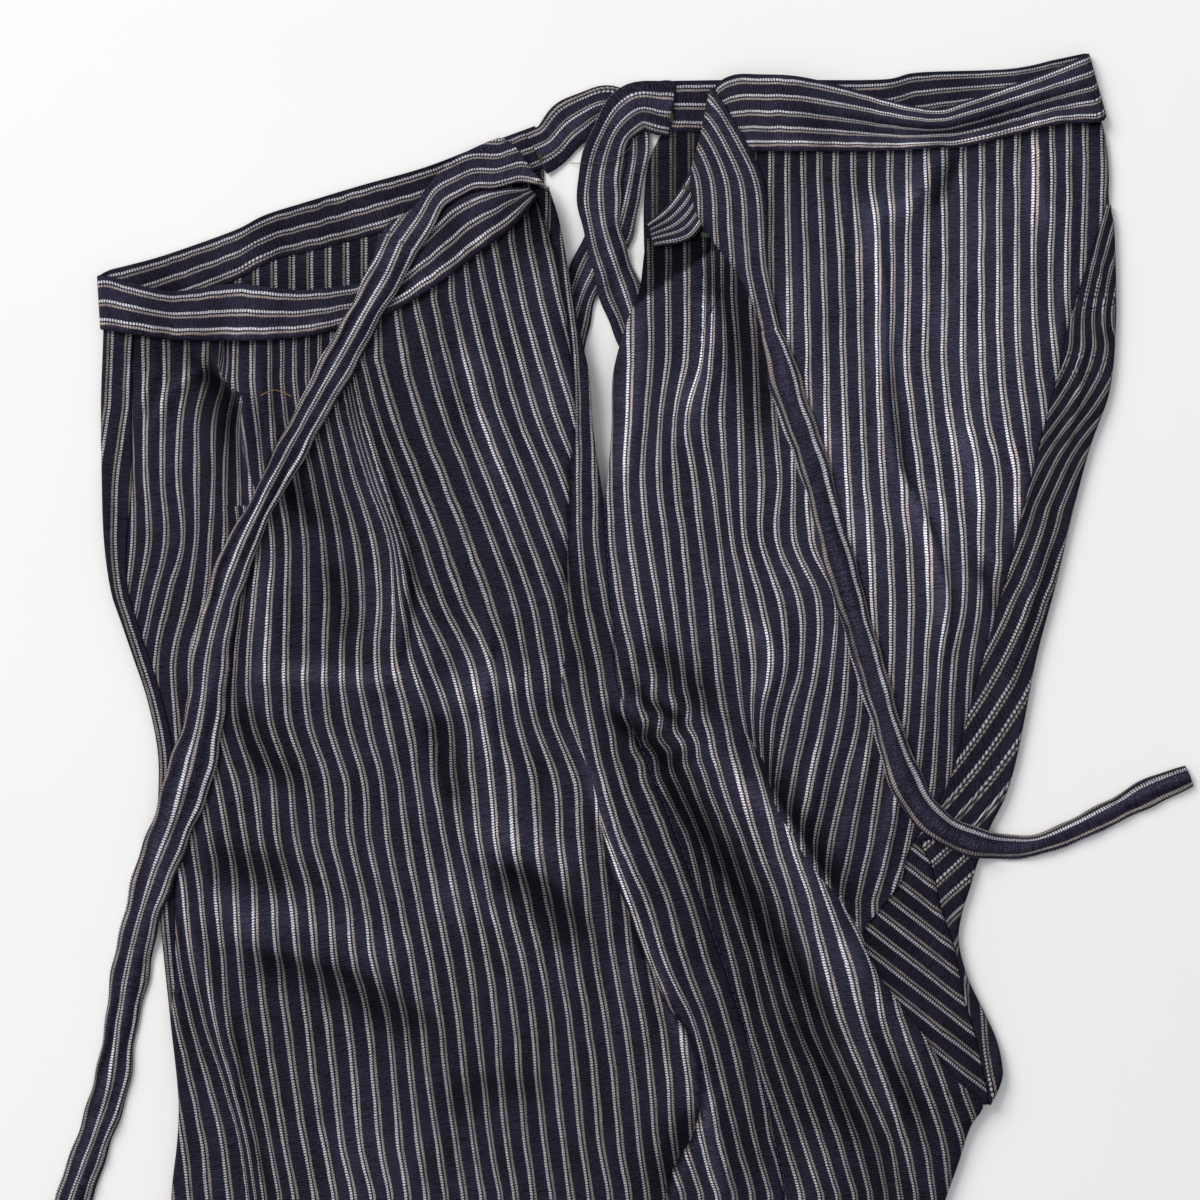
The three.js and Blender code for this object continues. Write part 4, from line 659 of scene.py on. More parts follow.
def striped_cotton(name, level=1.0, pale="d8d7dc", tan="baada4", worn=0.5):
    """Navy ground with a pair of lines, one pale and one tan, each crossed by dark weft as by rungs.
    Where the piece's second coordinates have a margin above 0 the stripes are those of its lap."""
    surface = Surface(name)
    place, across, warp = surface.cloth()
    over = surface.node("SeparateXYZ", None, {0: surface.node("UVMap", {"uv_map": "lap"})})
    margin = Wire(surface, over.socket.node.outputs[1])
    across = across + (over - across) * margin.math("GREATER_THAN", 0.0)
    painted_shading = surface.node("Attribute", {"attribute_name": "painted_shading"}, output=2)
    slub = surface.grain(place, 1500, 60, 2)
    cloud = surface.grain(place, 60, 40, 5)
    weft = surface.grain(place, 160, 2300, 3)
    fleck = surface.grain(place, 2100, 1500, 3)
    streak = surface.grain(place, 500, 90, 4)
    fraction = (across / (STRIPE * MM) + (slub - 0.5) * 0.03 + (weft - 0.5) * 0.055).fract()
    beat = warp * (1 / 0.00114) + (fleck - 0.5) * 0.7 + (streak - 0.5) * 1.6
    rung = beat.fract().line(0.5, 0.27, 0.18)
    slant = (beat + fraction * 3.0).fract().line(0.5, 0.27, 0.22)
    pale_line = fraction.line(0.085, 0.05 + rung * 0.026, 0.03)
    tan_line = fraction.line(0.31, 0.06, 0.035)
    dark = surface.blend((cloud * 1.8 - 0.4).held(), shade("16141b", level), shade("2e2c3b", level))
    ground = surface.blend(((fleck - 0.42) * worn * 2.6).held(), dark, shade("5a5771", level))
    ground = surface.blend(((weft - 0.42) * 2.4).held(), ground, shade("0d0c11", level))
    tan_share = tan_line * (0.16 + slant * 0.8) * (0.3 + streak * 1.25)
    pale_share = pale_line * (0.14 + rung * 0.95) * (0.25 + streak * 1.45)
    color = surface.blend(tan_share.held(), ground, shade(tan, level))
    color = surface.blend(pale_share.held(), color, shade(pale, level))
    # colour scaled by the painted shading attribute: painted light and shade
    color = surface.node("VectorMath", {"operation": "SCALE"}, {0: color, 3: painted_shading})
    height = rung * pale_line * 0.6 + slant * tan_line * 0.6 + fleck * 0.8 + weft * 0.6 + cloud * 0.6
    return surface.finish(color, height, 0.7, 0.0004)


def sewing_cotton(name, code):
    """Thread: a colour varied by fine noise."""
    surface = Surface(name, roughness=0.8)
    place = surface.node("TexCoord", None, None, output=3)
    grain = surface.node("TexNoise", None, {"Vector": place, "Scale": 2200.0, "Detail": 2.0})
    color = surface.blend(grain, shade(code, 0.7), shade(code, 1.15))
    return surface.finish(color, grain, 0.4, 0.0002)


def table_top(name):
    """Smooth pale board with the faintest mottling."""
    surface = Surface(name, roughness=0.75, sheen=0.0)
    place = surface.node("TexCoord", None, None, output=3)
    grain = surface.node("TexNoise", None, {"Vector": place, "Scale": 9.0, "Detail": 4.0})
    color = surface.blend(grain, shade("f1f0ee"), shade("f6f5f3"))
    return surface.finish(color, grain, 0.03, 0.0005)


PANEL = striped_cotton("striped_cotton_panel")
# the panel cloth at level 0.6 with dimmer stripes: painted shade for the layers that lie under the lay
INSIDE_SHADED = striped_cotton("striped_cotton_inside_shaded", level=0.6, worn=0.3, pale="9a958f", tan="8f8474")
GUSSET = striped_cotton("striped_cotton_gusset", level=0.85, worn=0.3, pale="c6c6ca", tan="ada093")
# band and tie: the panel cloth at levels 1.05 and 1.1, lighter as painted light
BAND = striped_cotton("striped_cotton_band", level=1.05, worn=0.5)
TIE = striped_cotton("striped_cotton_tie", level=1.1, worn=0.8)
GREEN_THREAD = sewing_cotton("sewing_thread_green", "48543f")
NAVY_THREAD = sewing_cotton("sewing_thread_navy", "3a3f5e")
TAN_THREAD = sewing_cotton("sewing_thread_tan", "a87a4c")

# ---------------------------------------------------------------------------------------------
# meshes


class Pile:
    """Height of the cloth laid so far on a 1 mm grid over the table; later pieces rest on it."""

    def __init__(self, width, length):
        self.heights = np.zeros((length, width))

    def add(self, x, down, z):
        """Raises the cells under a grid of points, each quad sampled 4 × 4 times."""
        for a in np.linspace(0, 1, 5)[:-1]:
            for b in np.linspace(0, 1, 5)[:-1]:
                px, pd, pz = (
                    (1 - a) * ((1 - b) * g[:-1, :-1] + b * g[:-1, 1:]) + a * ((1 - b) * g[1:, :-1] + b * g[1:, 1:])
                    for g in (x, down, z)
                )
                column = np.clip(px.astype(int), 0, self.heights.shape[1] - 1)
                row = np.clip(pd.astype(int), 0, self.heights.shape[0] - 1)
                np.maximum.at(self.heights, (row, column), pz)

    def field(self, reach, soft):
        """The highest cell within `reach`, then averaged over `soft` cells to either side."""
        top = self.heights
        for axis in (0, 1):
            top = np.max([np.roll(top, step, axis) for step in range(-reach, reach + 1)], axis=0)
        for axis in (0, 1, 0, 1):
            top = np.mean([np.roll(top, step, axis) for step in range(-soft, soft + 1)], axis=0)
        return top

    @staticmethod
    def read(field, x, down):
        """Value of a field between its cells, linear both ways."""
        cx = np.clip(x - 0.5, 0, field.shape[1] - 1.001)
        cd = np.clip(down - 0.5, 0, field.shape[0] - 1.001)
        i, j = cd.astype(int), cx.astype(int)
        fd, fx = cd - i, cx - j
        upper = field[i, j] * (1 - fx) + field[i, j + 1] * fx
        lower = field[i + 1, j] * (1 - fx) + field[i + 1, j + 1] * fx
        return upper * (1 - fd) + lower * fd


PILE = Pile(540, 960)


def piece(name, grid, across, warp, material, wall, node, closed=False, lap=None, painted_shading=0.85):
    """Rows × columns of points to a mesh with its cloth coordinates, those of its lap (count and
    margin) and its painted shading (a colour factor of painted light and shade), walled by Solidify."""
    x, down, z = grid
    rows, columns = x.shape
    points = np.stack([(x - ORIGIN_X) * MM, (ORIGIN_DOWN - down) * MM, z * MM], axis=-1).reshape(-1, 3)
    i, j = np.meshgrid(np.arange(rows - 1), np.arange(columns if closed else columns - 1), indexing="ij")
    right = (j + 1) % columns
    quads = np.stack([i * columns + j, (i + 1) * columns + j, (i + 1) * columns + right,
                      i * columns + right], axis=-1).reshape(-1, 4)
    mesh = bpy.data.meshes.new(name)
    mesh.from_pydata(points, [], quads.tolist())
    lap = lap or (across, np.full(x.shape, -1.0))
    for layer_name, pair in (("cloth", (across, warp)), ("lap", lap)):
        coordinates = np.stack(pair, axis=-1).reshape(-1, 2) * MM
        layer = mesh.uv_layers.new(name=layer_name)
        layer.data.foreach_set("uv", coordinates[quads.reshape(-1)].reshape(-1).astype(np.float32))
    tones = mesh.attributes.new("painted_shading", "FLOAT", "POINT")
    tones.data.foreach_set("value", (painted_shading + 0 * x).reshape(-1).astype(np.float32))
    mesh.polygons.foreach_set("use_smooth", np.ones(len(quads), bool))
    mesh.materials.append(material)
    made = bpy.data.objects.new(name, mesh)
    bpy.context.scene.collection.objects.link(made)
    solid = made.modifiers.new("wall", "SOLIDIFY")
    solid.thickness = wall * MM
    solid.offset = 0
    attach(made, "root")
    if node:
        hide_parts(node)
    PILE.add(x, down, z + wall / 2)
    return made


def rows_from(top, fine=2.2):
    """Rows of a panel for each column's own top: to the end of the slit, the crotch, then the hem."""
    waist = np.linspace(0, 1, 58)[:-1, None]
    first = top[None, :] + (SLIT_END - top[None, :]) * waist
    rest = np.concatenate([np.arange(SLIT_END, 520, fine), np.linspace(520, HEM_FROM - 0.5, 56)])
    return np.concatenate([first, np.repeat(rest[:, None], top.size, axis=1)])


def band_bottom(band, x, over):
    """Depth of a waistband's bottom edge at x, on the under or the upper side."""
    ribs = sorted((rib[2], rib[3]) for rib in band if rib[4] == over)
    return along(ribs, x)


def shares(count, dense_start=(), dense_end=()):
    """Even shares from 0 to 1 with extra ones near either end."""
    return np.unique(np.concatenate([np.linspace(0, 1, count), dense_start, dense_end]))


# ---------------------------------------------------------------------------------------------
# panels


def front_under():
    """Flat from the side to the left fold, half an ellipse round it, and back to the centre seam."""
    flat = np.linspace(1, 0, 70)
    turns = np.linspace(0, math.pi, 10)[1:-1]
    back = np.linspace(0, 1, 10)
    top_at = lambda share: band_bottom(FRONT_BAND, mix(*BAND_SPAN["front_under"], share), 0) - 4
    fold_top = top_at(0.0)
    top = np.concatenate([top_at(flat), mix(fold_top, 138, turns / math.pi), np.full(10, 138)])
    down = rows_from(top, 4.4)
    fold = along(OUTLINE_LEFT, down)
    height = mix(lift(fold + 4, down), LEG_RETURN, smooth(LEG_FROM, LEG_FROM + 20, down))
    radius = (height - UNDER) / 2
    a, b = flat.size, flat.size + turns.size
    x, z = np.zeros(down.shape), np.full(down.shape, UNDER)
    x[:, :a] = mix((fold + radius)[:, :a], along(SIDE_UNDER, down[:, :a]), flat)
    x[:, a:b] = fold[:, a:b] + radius[:, a:b] * (1 - np.sin(turns))
    z[:, a:b] = (UNDER + height[:, a:b]) / 2 - radius[:, a:b] * np.cos(turns)
    width = along(FRONT_RETURN, down[:, b:])
    x[:, b:] = mix(fold[:, b:] + radius[:, b:], fold[:, b:] + width, back)
    z[:, b:] = mix(lift(x[:, b:], down[:, b:]), LEG_RETURN, smooth(LEG_FROM, LEG_FROM + 20, down[:, b:]))
    z[:, b:b + 1] = height[:, b:b + 1]
    z[:, :a] += np.maximum(ripple(x[:, :a], down[:, :a]), -0.1) * 0.4
    fold_to = x - fold
    across = along(RETURN_DRIFT, down) + 0.4 * STRIPE - fold_to
    # painted light and shade from the creases and spots, at 0.85
    made = piece("front_right_cloth", (x, down, z), across, down, PANEL, WALL, "front_right",
                 painted_shading=crease_shading(x, down) * 0.85)


def back_under():
    """Flat from the side to the gussets and, below them, to the leg's edge."""
    share = np.linspace(0, 1, 60)
    top = band_bottom(BACK_BAND, mix(*BAND_SPAN["back_under"], share), 0) - 4
    down = rows_from(top, 4.4)
    seam = along(BACK_EDGE, down) - SEAT_GUSSET[2] - 1.4
    crotch = along(OUTLINE_RIGHT, down) - CROTCH_GUSSET[2] - 1.4
    leg = along(OUTLINE_RIGHT, down)
    right = np.where(down <= SEAT_GUSSET[1], seam, crotch)
    right = np.where(down < SEAT_GUSSET[0], leg - 1, right)
    right = np.where(down >= CROTCH_GUSSET[1],
                     mix(crotch, leg, smooth(CROTCH_GUSSET[1], CROTCH_GUSSET[1] + 24, down)), right)
    x = mix(along(SIDE_UNDER, down, 2), right, share)
    z = UNDER + np.maximum(ripple(x, down), -0.1) * 0.4
    made = piece("back_right_cloth", (x, down, z), x, down, INSIDE_SHADED, WALL, "back_right")


def gusset(name, node, material, down, seam, under_seam, count):
    """Folded round the right edge: from its upper seam, half an ellipse, to its under seam."""
    fold = along(OUTLINE_RIGHT, down) - 0.8 * smooth(SEAT_GUSSET[0] + 6, SEAT_GUSSET[0], down)
    height = lift(fold - 4, down) - 1.2 * smooth(SEAT_GUSSET[0] + 14, SEAT_GUSSET[0], down)
    radius = np.minimum((height - UNDER) / 2, (fold - seam(down)) * 0.6)
    upper = np.linspace(0, 1, count)
    turns = np.linspace(0, math.pi, 12)[1:-1]
    under = np.linspace(0, 1, 6)
    column = lambda values: values[:, None]
    x_up = mix(column(seam(down)), column(fold - radius), upper)
    z_up = lift(x_up, column(down) + 0 * x_up)
    edge = z_up[:, -1]
    x_turn = column(fold - radius) + column(radius) * np.sin(turns)
    z_turn = column((UNDER + edge) / 2) + column((edge - UNDER) / 2) * np.cos(turns)
    x_under = mix(column(fold - radius), column(under_seam(down)), under)
    x = np.concatenate([x_up, x_turn, x_under], axis=1)
    z = np.concatenate([z_up, z_turn, np.full(x_under.shape, UNDER)], axis=1)
    deep = np.repeat(column(down), x.shape[1], axis=1)
    steps = np.hypot(np.diff(x, axis=1), np.diff(z, axis=1))
    reach = np.concatenate([np.zeros((len(x), 1)), np.cumsum(steps, axis=1)], axis=1)
    packed = column(mix(1.8, 1.0, smooth(140, 300, down)))
    girth = reach * packed + column(seam(down)) - 405
    turn = np.radians(along(LEAN, down))
    swept = np.cumsum(np.gradient(down) * np.sin(turn))
    across = girth * column(np.cos(turn)) + column(swept) + 0.3 * STRIPE
    warp = deep * column(np.cos(turn)) - girth * column(np.sin(turn))
    # painted light and shade: lighter on the creases' crests, darker in their troughs
    made = piece(name, (x, deep, z), across, warp, material, WALL, node,
                 painted_shading=0.95 * np.exp(0.3 * np.tanh(relief(CREASES, x, deep, STEP) / 1.5)))


def crotch_left():
    """From the seam under the upper back to the chevron seam, on the upper layer's height."""
    down = np.linspace(CROTCH_GUSSET[0] - 0.6, CROTCH_GUSSET[1] - 0.3, 76)[:, None]
    left = np.minimum(along(BACK_EDGE, down) - 0.4, along(CHEVRON, down) - 0.6)
    x = mix(left, along(CHEVRON, down) - 0.3, np.linspace(0, 1, 40))
    deep = down + 0 * x
    z = lift(x, deep) - 0.5 * smooth(3, 0, x - left)
    turn = math.radians(-52)
    across = x * math.cos(turn) + deep * math.sin(turn)
    warp = deep * math.cos(turn) - x * math.sin(turn)
    made = piece("crotch_left_cloth", (x, deep, z), across, warp, GUSSET, WALL, "crotch_gusset_left")


def inner_leg(name, node, z, left_inset, right_inset):
    """Flat between the turned edges of the outer panels."""
    down = np.linspace(INNER_FROM, HEM_FROM - 0.5, 60)[:, None]
    left = along(OUTLINE_LEFT, down) + left_inset
    right = np.minimum(along(OUTLINE_RIGHT, down), along(BACK_EDGE, down)) - right_inset
    x = mix(left, right, np.linspace(0, 1, 30))
    deep = down + 0 * x
    made = piece(name, (x, deep, z + 0 * x), x, deep, INSIDE_SHADED, WALL, node)


def front_upper():
    """From the centre seam, or below the crotch the leg's fold, to the slit and the side seam."""
    share = shares(168, np.linspace(0, 0.02, 6))
    top = np.full(share.size, 110.0)
    for _ in range(8):
        left = along(OUTLINE_LEFT, top) + along(FRONT_RETURN, top) + 0.2
        across = np.clip(mix(left, along(SIDE_UPPER, top, 1), share), *BAND_SPAN["front_upper"])
        top = mix(top, band_bottom(FRONT_BAND, across, 1) - 3, 0.7)
    down = rows_from(top)
    fold = along(OUTLINE_LEFT, down)
    folded = smooth(LEG_FULL - 16, LEG_FULL + 8, down)
    left = mix(fold + along(FRONT_RETURN, down) + 0.2, fold + 0.4, folded)
    x = mix(left, along(SIDE_UPPER, down, 1), share)
    flat = lift(x, down)
    z = mix(flat, rolled(flat, RIM_LEFT, x - left), folded)
    z -= 0.5 * smooth(2.5, 0, x - left) * (1 - folded)
    z -= 0.45 * smooth(1.6, 0, along(SIDE_UPPER, down, 1) - x)
    margin = lapped(FRONT_LAP, x, down)
    near = 1 - smooth(640, 690, down / STEP)
    z += near * (0.45 * smooth(-0.8, 0.8, margin) - 0.35 * np.exp(-((margin + 0.8) / 0.8) ** 2))
    across = threads(FRONT_THREADS, x, down) * STRIPE + wobble(x, down)
    tucked = (x < 400 * STEP) & (down < 530 * STEP)
    tuck = threads(TUCK_THREADS, x, down), -lapped(TUCK, x, down)
    other = np.where(tucked, tuck[0], threads(FRONT_LAP_THREADS, x, down)) * STRIPE + wobble(x, down)
    lap = (other, np.where(tucked, np.minimum(tuck[1], 506 * STEP - down), margin))
    # painted shade where the stripes are drawn apart
    stretch_shade = crowded(np.where(lap[1] > 0, other, across), x)
    # painted shadow under the waistband, darkest at the panel's top
    band_shadow = 1 - 0.35 * np.exp(-(down - top - 3) / 5)
    made = piece("front_left_cloth", (x, down, z), across, down + 0.2 * x, PANEL, WALL, "front_left",
                 lap=lap, painted_shading=crease_shading(x, down) * band_shadow * stretch_shade)


def back_upper():
    """From the slit and the side seam to the gussets or, past them, the right fold."""
    share = shares(132, (), np.linspace(0.98, 1, 6))
    rib = mix(*BAND_SPAN["back_upper"], share)
    top = band_bottom(BACK_BAND, rib, 1) - mix(3, -0.5, smooth(446, 456, rib))
    down = rows_from(top)
    right = along(BACK_EDGE, down)
    left = along(SIDE_UPPER, down, 2)
    x = mix(left, right, share)
    folded = 1 - smooth(78, 96, down) * smooth(480, 460, down)
    flat = lift(x, down)
    z = mix(flat, rolled(flat, RIM_RIGHT, right - x), folded)
    raised = smooth(350, 362, down) * smooth(470, 455, down)
    z += raised * 0.8 * smooth(6, 1, right - x) - (1 - folded) * (1 - raised) * 0.5 * smooth(2, 0, right - x)
    z -= 0.45 * smooth(1.6, 0, x - left)
    across = threads(BACK_THREADS, x, down) * STRIPE + wobble(x, down)
    margin = np.where(down > 730 * STEP, -lapped(BACK_LAP, x, down), -3.0)
    lap = (threads(BACK_LAP_THREADS, x, down) * STRIPE + wobble(x, down), margin)
    # painted shade where the stripes are drawn apart
    stretch_shade = crowded(np.where(margin > 0, lap[0], across), x)
    # a hollow sunk below a diagonal line by the slit, its colour also darkened as painted shade
    sunk = (x / STEP - 649) * 44 + (down / STEP - 297) * 62
    shaded_hollow = smooth(60, -60, sunk) * smooth(735, 715, x / STEP)
    z -= 2.2 * shaded_hollow
    # painted shadow under the waistband, darkest at the panel's top
    band_shadow = 1 - 0.3 * np.exp(-(down - top - 3) / 4)
    painted_shading = crease_shading(x, down) * band_shadow * (1 - 0.72 * shaded_hollow) * stretch_shade
    made = piece("back_left_cloth", (x, down, z), across, down + 0.05 * x, PANEL, WALL, "back_left",
                 lap=lap, painted_shading=painted_shading)


def hem(name, node, low, high):
    """A flattened tube round the end of a leg: two flats joined by half circles."""
    radius = (high - low) / 2
    down = np.linspace(HEM_FROM, HEM_TO, 9)[:, None]
    left, right = along(OUTLINE_LEFT, down) + radius, along(OUTLINE_RIGHT, down) - radius
    turns = np.linspace(0, math.pi, 7)[1:-1]
    flat = np.linspace(0, 1, 60)
    x = np.concatenate([mix(left, right, flat), right + radius * np.sin(turns), mix(right, left, flat),
                        left - radius * np.sin(turns)], axis=1)
    half = np.concatenate([np.full(60, high), (low + high) / 2 + radius * np.cos(turns)])
    other = np.concatenate([np.full(60, low), (low + high) / 2 - radius * np.cos(turns)])
    z = np.concatenate([half, other]) + 0 * x
    across = np.cumsum(np.hypot(np.diff(x, axis=1, prepend=x[:, :1]), 0), axis=1)
    made = piece(name, (x, down + 0 * x, z), across, down + 0 * x, PANEL, WALL, node,
                 closed=True)


# ---------------------------------------------------------------------------------------------
# waistbands and ties


def waistband(name, node, ribs, pairs, columns):
    """Ribs from top to bottom edge, on the table, round the fold, then resting on the pile."""
    table = [rib if len(rib) == 6 else (*rib, 0) for rib in ribs]
    course, length = evenly(table, 300)
    share = np.linspace(0, 1, columns)
    top_x, top_down, bottom_x, bottom_down, over, lip = (course[:, c:c + 1] for c in range(6))
    x = mix(top_x, bottom_x, share)
    down = mix(top_down, bottom_down, share)
    over = np.clip(over, 0, 1)
    rested = np.maximum(PILE.read(PILE.field(2, 2), x, down) + 0.35 + BAND_WALL / 2, UPPER_SEAT + 0.8)
    rested = mix(UPPER_SEAT + 1.4, rested, smooth(0.9, 1, over))
    stand = np.maximum(lip, 0) * smooth(0.5, 0.38, share) * (0.6 + share)
    z = mix(BAND_WALL / 2, rested, over) + stand
    edge = np.minimum(share, 1 - share)
    z -= over * 0.5 * smooth(0.06, 0, edge)
    wave = np.sin(length[:, None] / 4.1 + 2.0 * share) * 0.18 + np.sin(length[:, None] / 9.7) * 0.3
    pucker = np.sin(length[:, None] / 2.3 + np.sin(length[:, None] / 11) * 3) * 0.28 * smooth(0.5, 1, share)
    z += over * (wave + pucker + 0.25)
    many = mix(pairs[0], pairs[1], np.maximum(over > 0, smooth(330, 440, top_x)))
    across = share * (many - 0.1) * STRIPE + 0.75 * STRIPE
    # painted shade: the under part at 0.75, darker below the standing lip and at the edges, lighter on raised waves
    # and puckers, plus the painted spots
    painted_shading = (1 - 0.25 * over * smooth(0.5, 0, np.abs(share - 0.62) * 4) * np.clip(lip, 0, 1)) * (0.75 + 0.25 * over)
    painted_shading = painted_shading * (0.75 + 0.25 * smooth(0, 0.08, edge)) * (0.92 + 0.5 * (wave + pucker))
    painted_shading = painted_shading * np.exp(painted_spots(x, down))
    made = piece(name, (x, down, z), across + wobble(x, down), length[:, None] + 0 * x, BAND, BAND_WALL, node,
                 painted_shading=painted_shading)


def tie(name, node, rows, count, pairs, pleats, rise, head=(), edges=(0.45, 0.45)):
    """Laid on the pile from one edge to the other, the edges squared across the course or, at the
    head, given: ridges run along it and drift from side to side, and the two edges roll under."""
    course, length = evenly(rows, count)
    ahead = np.gradient(course[:, :2], axis=0)
    ahead /= np.hypot(ahead[:, :1], ahead[:, 1:2])
    half = course[:, 2:] / 2 * (1 + 0.06 * np.sin(length / 7.3) + 0.04 * np.sin(length / 3.1 + 1))[:, None]
    square = np.column_stack([ahead[:, 1], -ahead[:, 0]]) * half
    sides = np.concatenate([course[:, :2] - square, course[:, :2] + square], axis=1)
    span = np.full(count, pairs * STRIPE)
    loose = np.ones(count)
    if head:
        ribs, run = evenly([((a + c) / 2, (b + d) / 2, a, b, c, d) for a, b, c, d in head], 120)
        width = np.hypot(ribs[:, 4] - ribs[:, 2], ribs[:, 5] - ribs[:, 3]) * STEP * 1.2
        span = np.concatenate([width, mix(width[-1], span, smooth(0, 40, length))])
        loose = np.concatenate([np.full(120, 0.25), mix(0.25, loose, smooth(0, 20, length))])
        sides = np.concatenate([ribs[:, 2:] * STEP, sides])
        length = np.concatenate([run * STEP, run[-1] * STEP + 0.5 + length])
    share = np.linspace(0, 1, 36)
    far, span, loose = length[:, None], span[:, None], loose[:, None]
    x = mix(sides[:, :1], sides[:, 2:3], share)
    down = mix(sides[:, 1:2], sides[:, 3:], share)
    drift = np.sin(far / 23) * 0.9 + np.sin(far / 9.1 + 1) * 0.4
    ridges = np.cos(2 * math.pi * pleats * (share - 0.5) + drift) * (0.6 + 0.4 * np.sin(far / 17 + 3 * share))
    bed = PILE.read(PILE.field(2, 3), x, down)
    edge = smooth(0.5, 0.38, np.abs(share - 0.5))
    crumple = np.sin(far / 2.9 + 5 * share + np.sin(far / 13) * 2) * 0.3
    z = bed + 0.3 + TIE_WALL / 2 + edge * ((rise * (0.5 + 0.5 * ridges) + crumple) * loose + 0.5)
    first = mix(*edges, smooth(40, 110, far)) * STRIPE
    across = first - (1 - share + 0.04 * loose * np.sin(far / 19 + 4 * share)) * span
    # painted light and shade: lighter on the ridges, darker in the valleys and at the rolled edges
    made = piece(name, (x, down, z), across, far + 0 * x, TIE, TIE_WALL, node,
                 painted_shading=mix(0.55, 1.1, 0.5 + 0.5 * ridges * loose) * (0.7 + 0.3 * edge))


# ---------------------------------------------------------------------------------------------
# sewing


def strands(name, paths, radius, material):
    """Round threads: each path swept by a six-sided section, with the path's own direction."""
    points, faces = [], []
    angles = np.linspace(0, 2 * math.pi, 7)[:-1]
    for path in paths:
        path = np.asarray(path, float)
        ahead = np.gradient(path, axis=0)
        ahead /= np.linalg.norm(ahead, axis=1, keepdims=True)
        side = np.cross(ahead, [0.0, 0.0, 1.0])
        side /= np.maximum(np.linalg.norm(side, axis=1, keepdims=True), 1e-6)
        lift_up = np.cross(side, ahead)
        ring = (path[:, None] + radius * (np.cos(angles)[:, None] * side[:, None]
                                          + np.sin(angles)[:, None] * lift_up[:, None]))
        first = sum(len(p) for p in points)
        points.append(ring.reshape(-1, 3))
        i, j = np.meshgrid(np.arange(len(path) - 1), np.arange(6), indexing="ij")
        k = (j + 1) % 6
        faces.append(np.stack([i * 6 + j, (i + 1) * 6 + j, (i + 1) * 6 + k, i * 6 + k], -1).reshape(-1, 4)
                     + first)
        caps = [np.arange(6)[::-1] + first, np.arange(6) + first + (len(path) - 1) * 6]
        faces.append(np.array([[c[0], c[1], c[2], c[3]] for c in caps] + [[c[0], c[3], c[4], c[5]] for c in caps]))
    places = np.concatenate(points)
    places[:, 0] -= ORIGIN_X
    places[:, 1] = ORIGIN_DOWN - places[:, 1]
    mesh = bpy.data.meshes.new(name)
    mesh.from_pydata(places * MM, [], np.concatenate(faces)[:, ::-1].tolist())
    mesh.polygons.foreach_set("use_smooth", np.ones(len(mesh.polygons), bool))
    mesh.materials.append(material)
    made = bpy.data.objects.new(name, mesh)
    bpy.context.scene.collection.objects.link(made)
    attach(made, "root")
    return made


def on_pile(x, down, above=0.15):
    """Height just over the cloth at a point."""
    return PILE.read(PILE.field(1, 1), x, down) + above


def stitches(line, pitch, gap, offset):
    """Short threads end to end along a line of (down, x), `offset` mm to its right."""
    rows = np.asarray(line, float)
    course, _ = evenly(rows[:, ::-1], int((rows[-1, 0] - rows[0, 0]) / pitch))
    paths = []
    for start, end in zip(course[:-1], course[1:]):
        places = start + (end - start) * np.linspace(0, 1 - gap, 5)[:, None]
        x = places[:, 0] + offset
        arch = np.sin(np.linspace(0, math.pi, 5)) * 0.18
        paths.append(np.column_stack([x, places[:, 1], on_pile(x, places[:, 1], -0.05) + arch]))
    return paths


def tack(x, down, length, turn, rows=4):
    """A bar tack: threads side by side across the line they hold."""
    paths = []
    for row in range(rows):
        shift = (row - (rows - 1) / 2) * 0.42
        run = np.linspace(-0.5, 0.5, 6) * length
        px = x + run * math.cos(turn) - shift * math.sin(turn)
        pd = down + run * math.sin(turn) + shift * math.cos(turn)
        paths.append(np.column_stack([px, pd, on_pile(px, pd) + 0.25 * np.cos(run / length * math.pi)]))
    return paths


def loose(points, above):
    """A loose end of thread: a smooth run through points of (x, down) on the cloth."""
    course, _ = evenly(np.asarray(points, float) * STEP, 26)
    return np.column_stack([course, on_pile(course[:, 0], course[:, 1], above)])


# ---------------------------------------------------------------------------------------------
# the lay, from the table up

front_under()
back_under()
inner_leg("inner_leg_right_cloth", "inner_leg_right", LEG_RETURN, 4.2, 6.5)
inner_leg("inner_leg_left_cloth", "inner_leg_left", LEG_RETURN + 1.5, 6.5, 6.5)
tie("tie_front_right_cloth", "tie_front_right", TIE_FRONT_UNDER, 240, 3, 1.6, 0.9)
tie("tie_back_right_cloth", "tie_back_right", TIE_BACK_UNDER, 240, 3, 1.6, 0.9)
gusset("seat_gusset_cloth", "seat_gusset", GUSSET, np.linspace(SEAT_GUSSET[0] - 2, SEAT_GUSSET[1] + 0.9, 170),
       lambda down: along(BACK_EDGE, down) + 0.2, lambda down: along(BACK_EDGE, down) - SEAT_GUSSET[2],
       34)
gusset("crotch_right_cloth", "crotch_gusset_right", GUSSET,
       np.linspace(CROTCH_GUSSET[0] - 0.3, CROTCH_GUSSET[1], 80),
       lambda down: along(CHEVRON, down) + 0.2, lambda down: along(OUTLINE_RIGHT, down) - CROTCH_GUSSET[2],
       20)
crotch_left()
front_upper()
back_upper()
hem("hem_right_band", "hem_right", UNDER, LEG_RETURN)
hem("hem_left_band", "hem_left", RIM_LEFT, UPPER_LEG)
waistband("front_band_cloth", "waistband_front", FRONT_BAND, (3, 3), 30)
waistband("back_band_cloth", "waistband_back", BACK_BAND, (3, 5), 40)
tie("tie_front_left_cloth", "tie_front_left", TIE_FRONT_UPPER, 440, 2.3, 1.8, 2.2,
    TIE_FRONT_HEAD)
tie("tie_back_left_cloth", "tie_back_left", TIE_BACK_UPPER, 380, 1.2, 1.6, 2.2,
    TIE_BACK_HEAD, (0.72, 0.32))

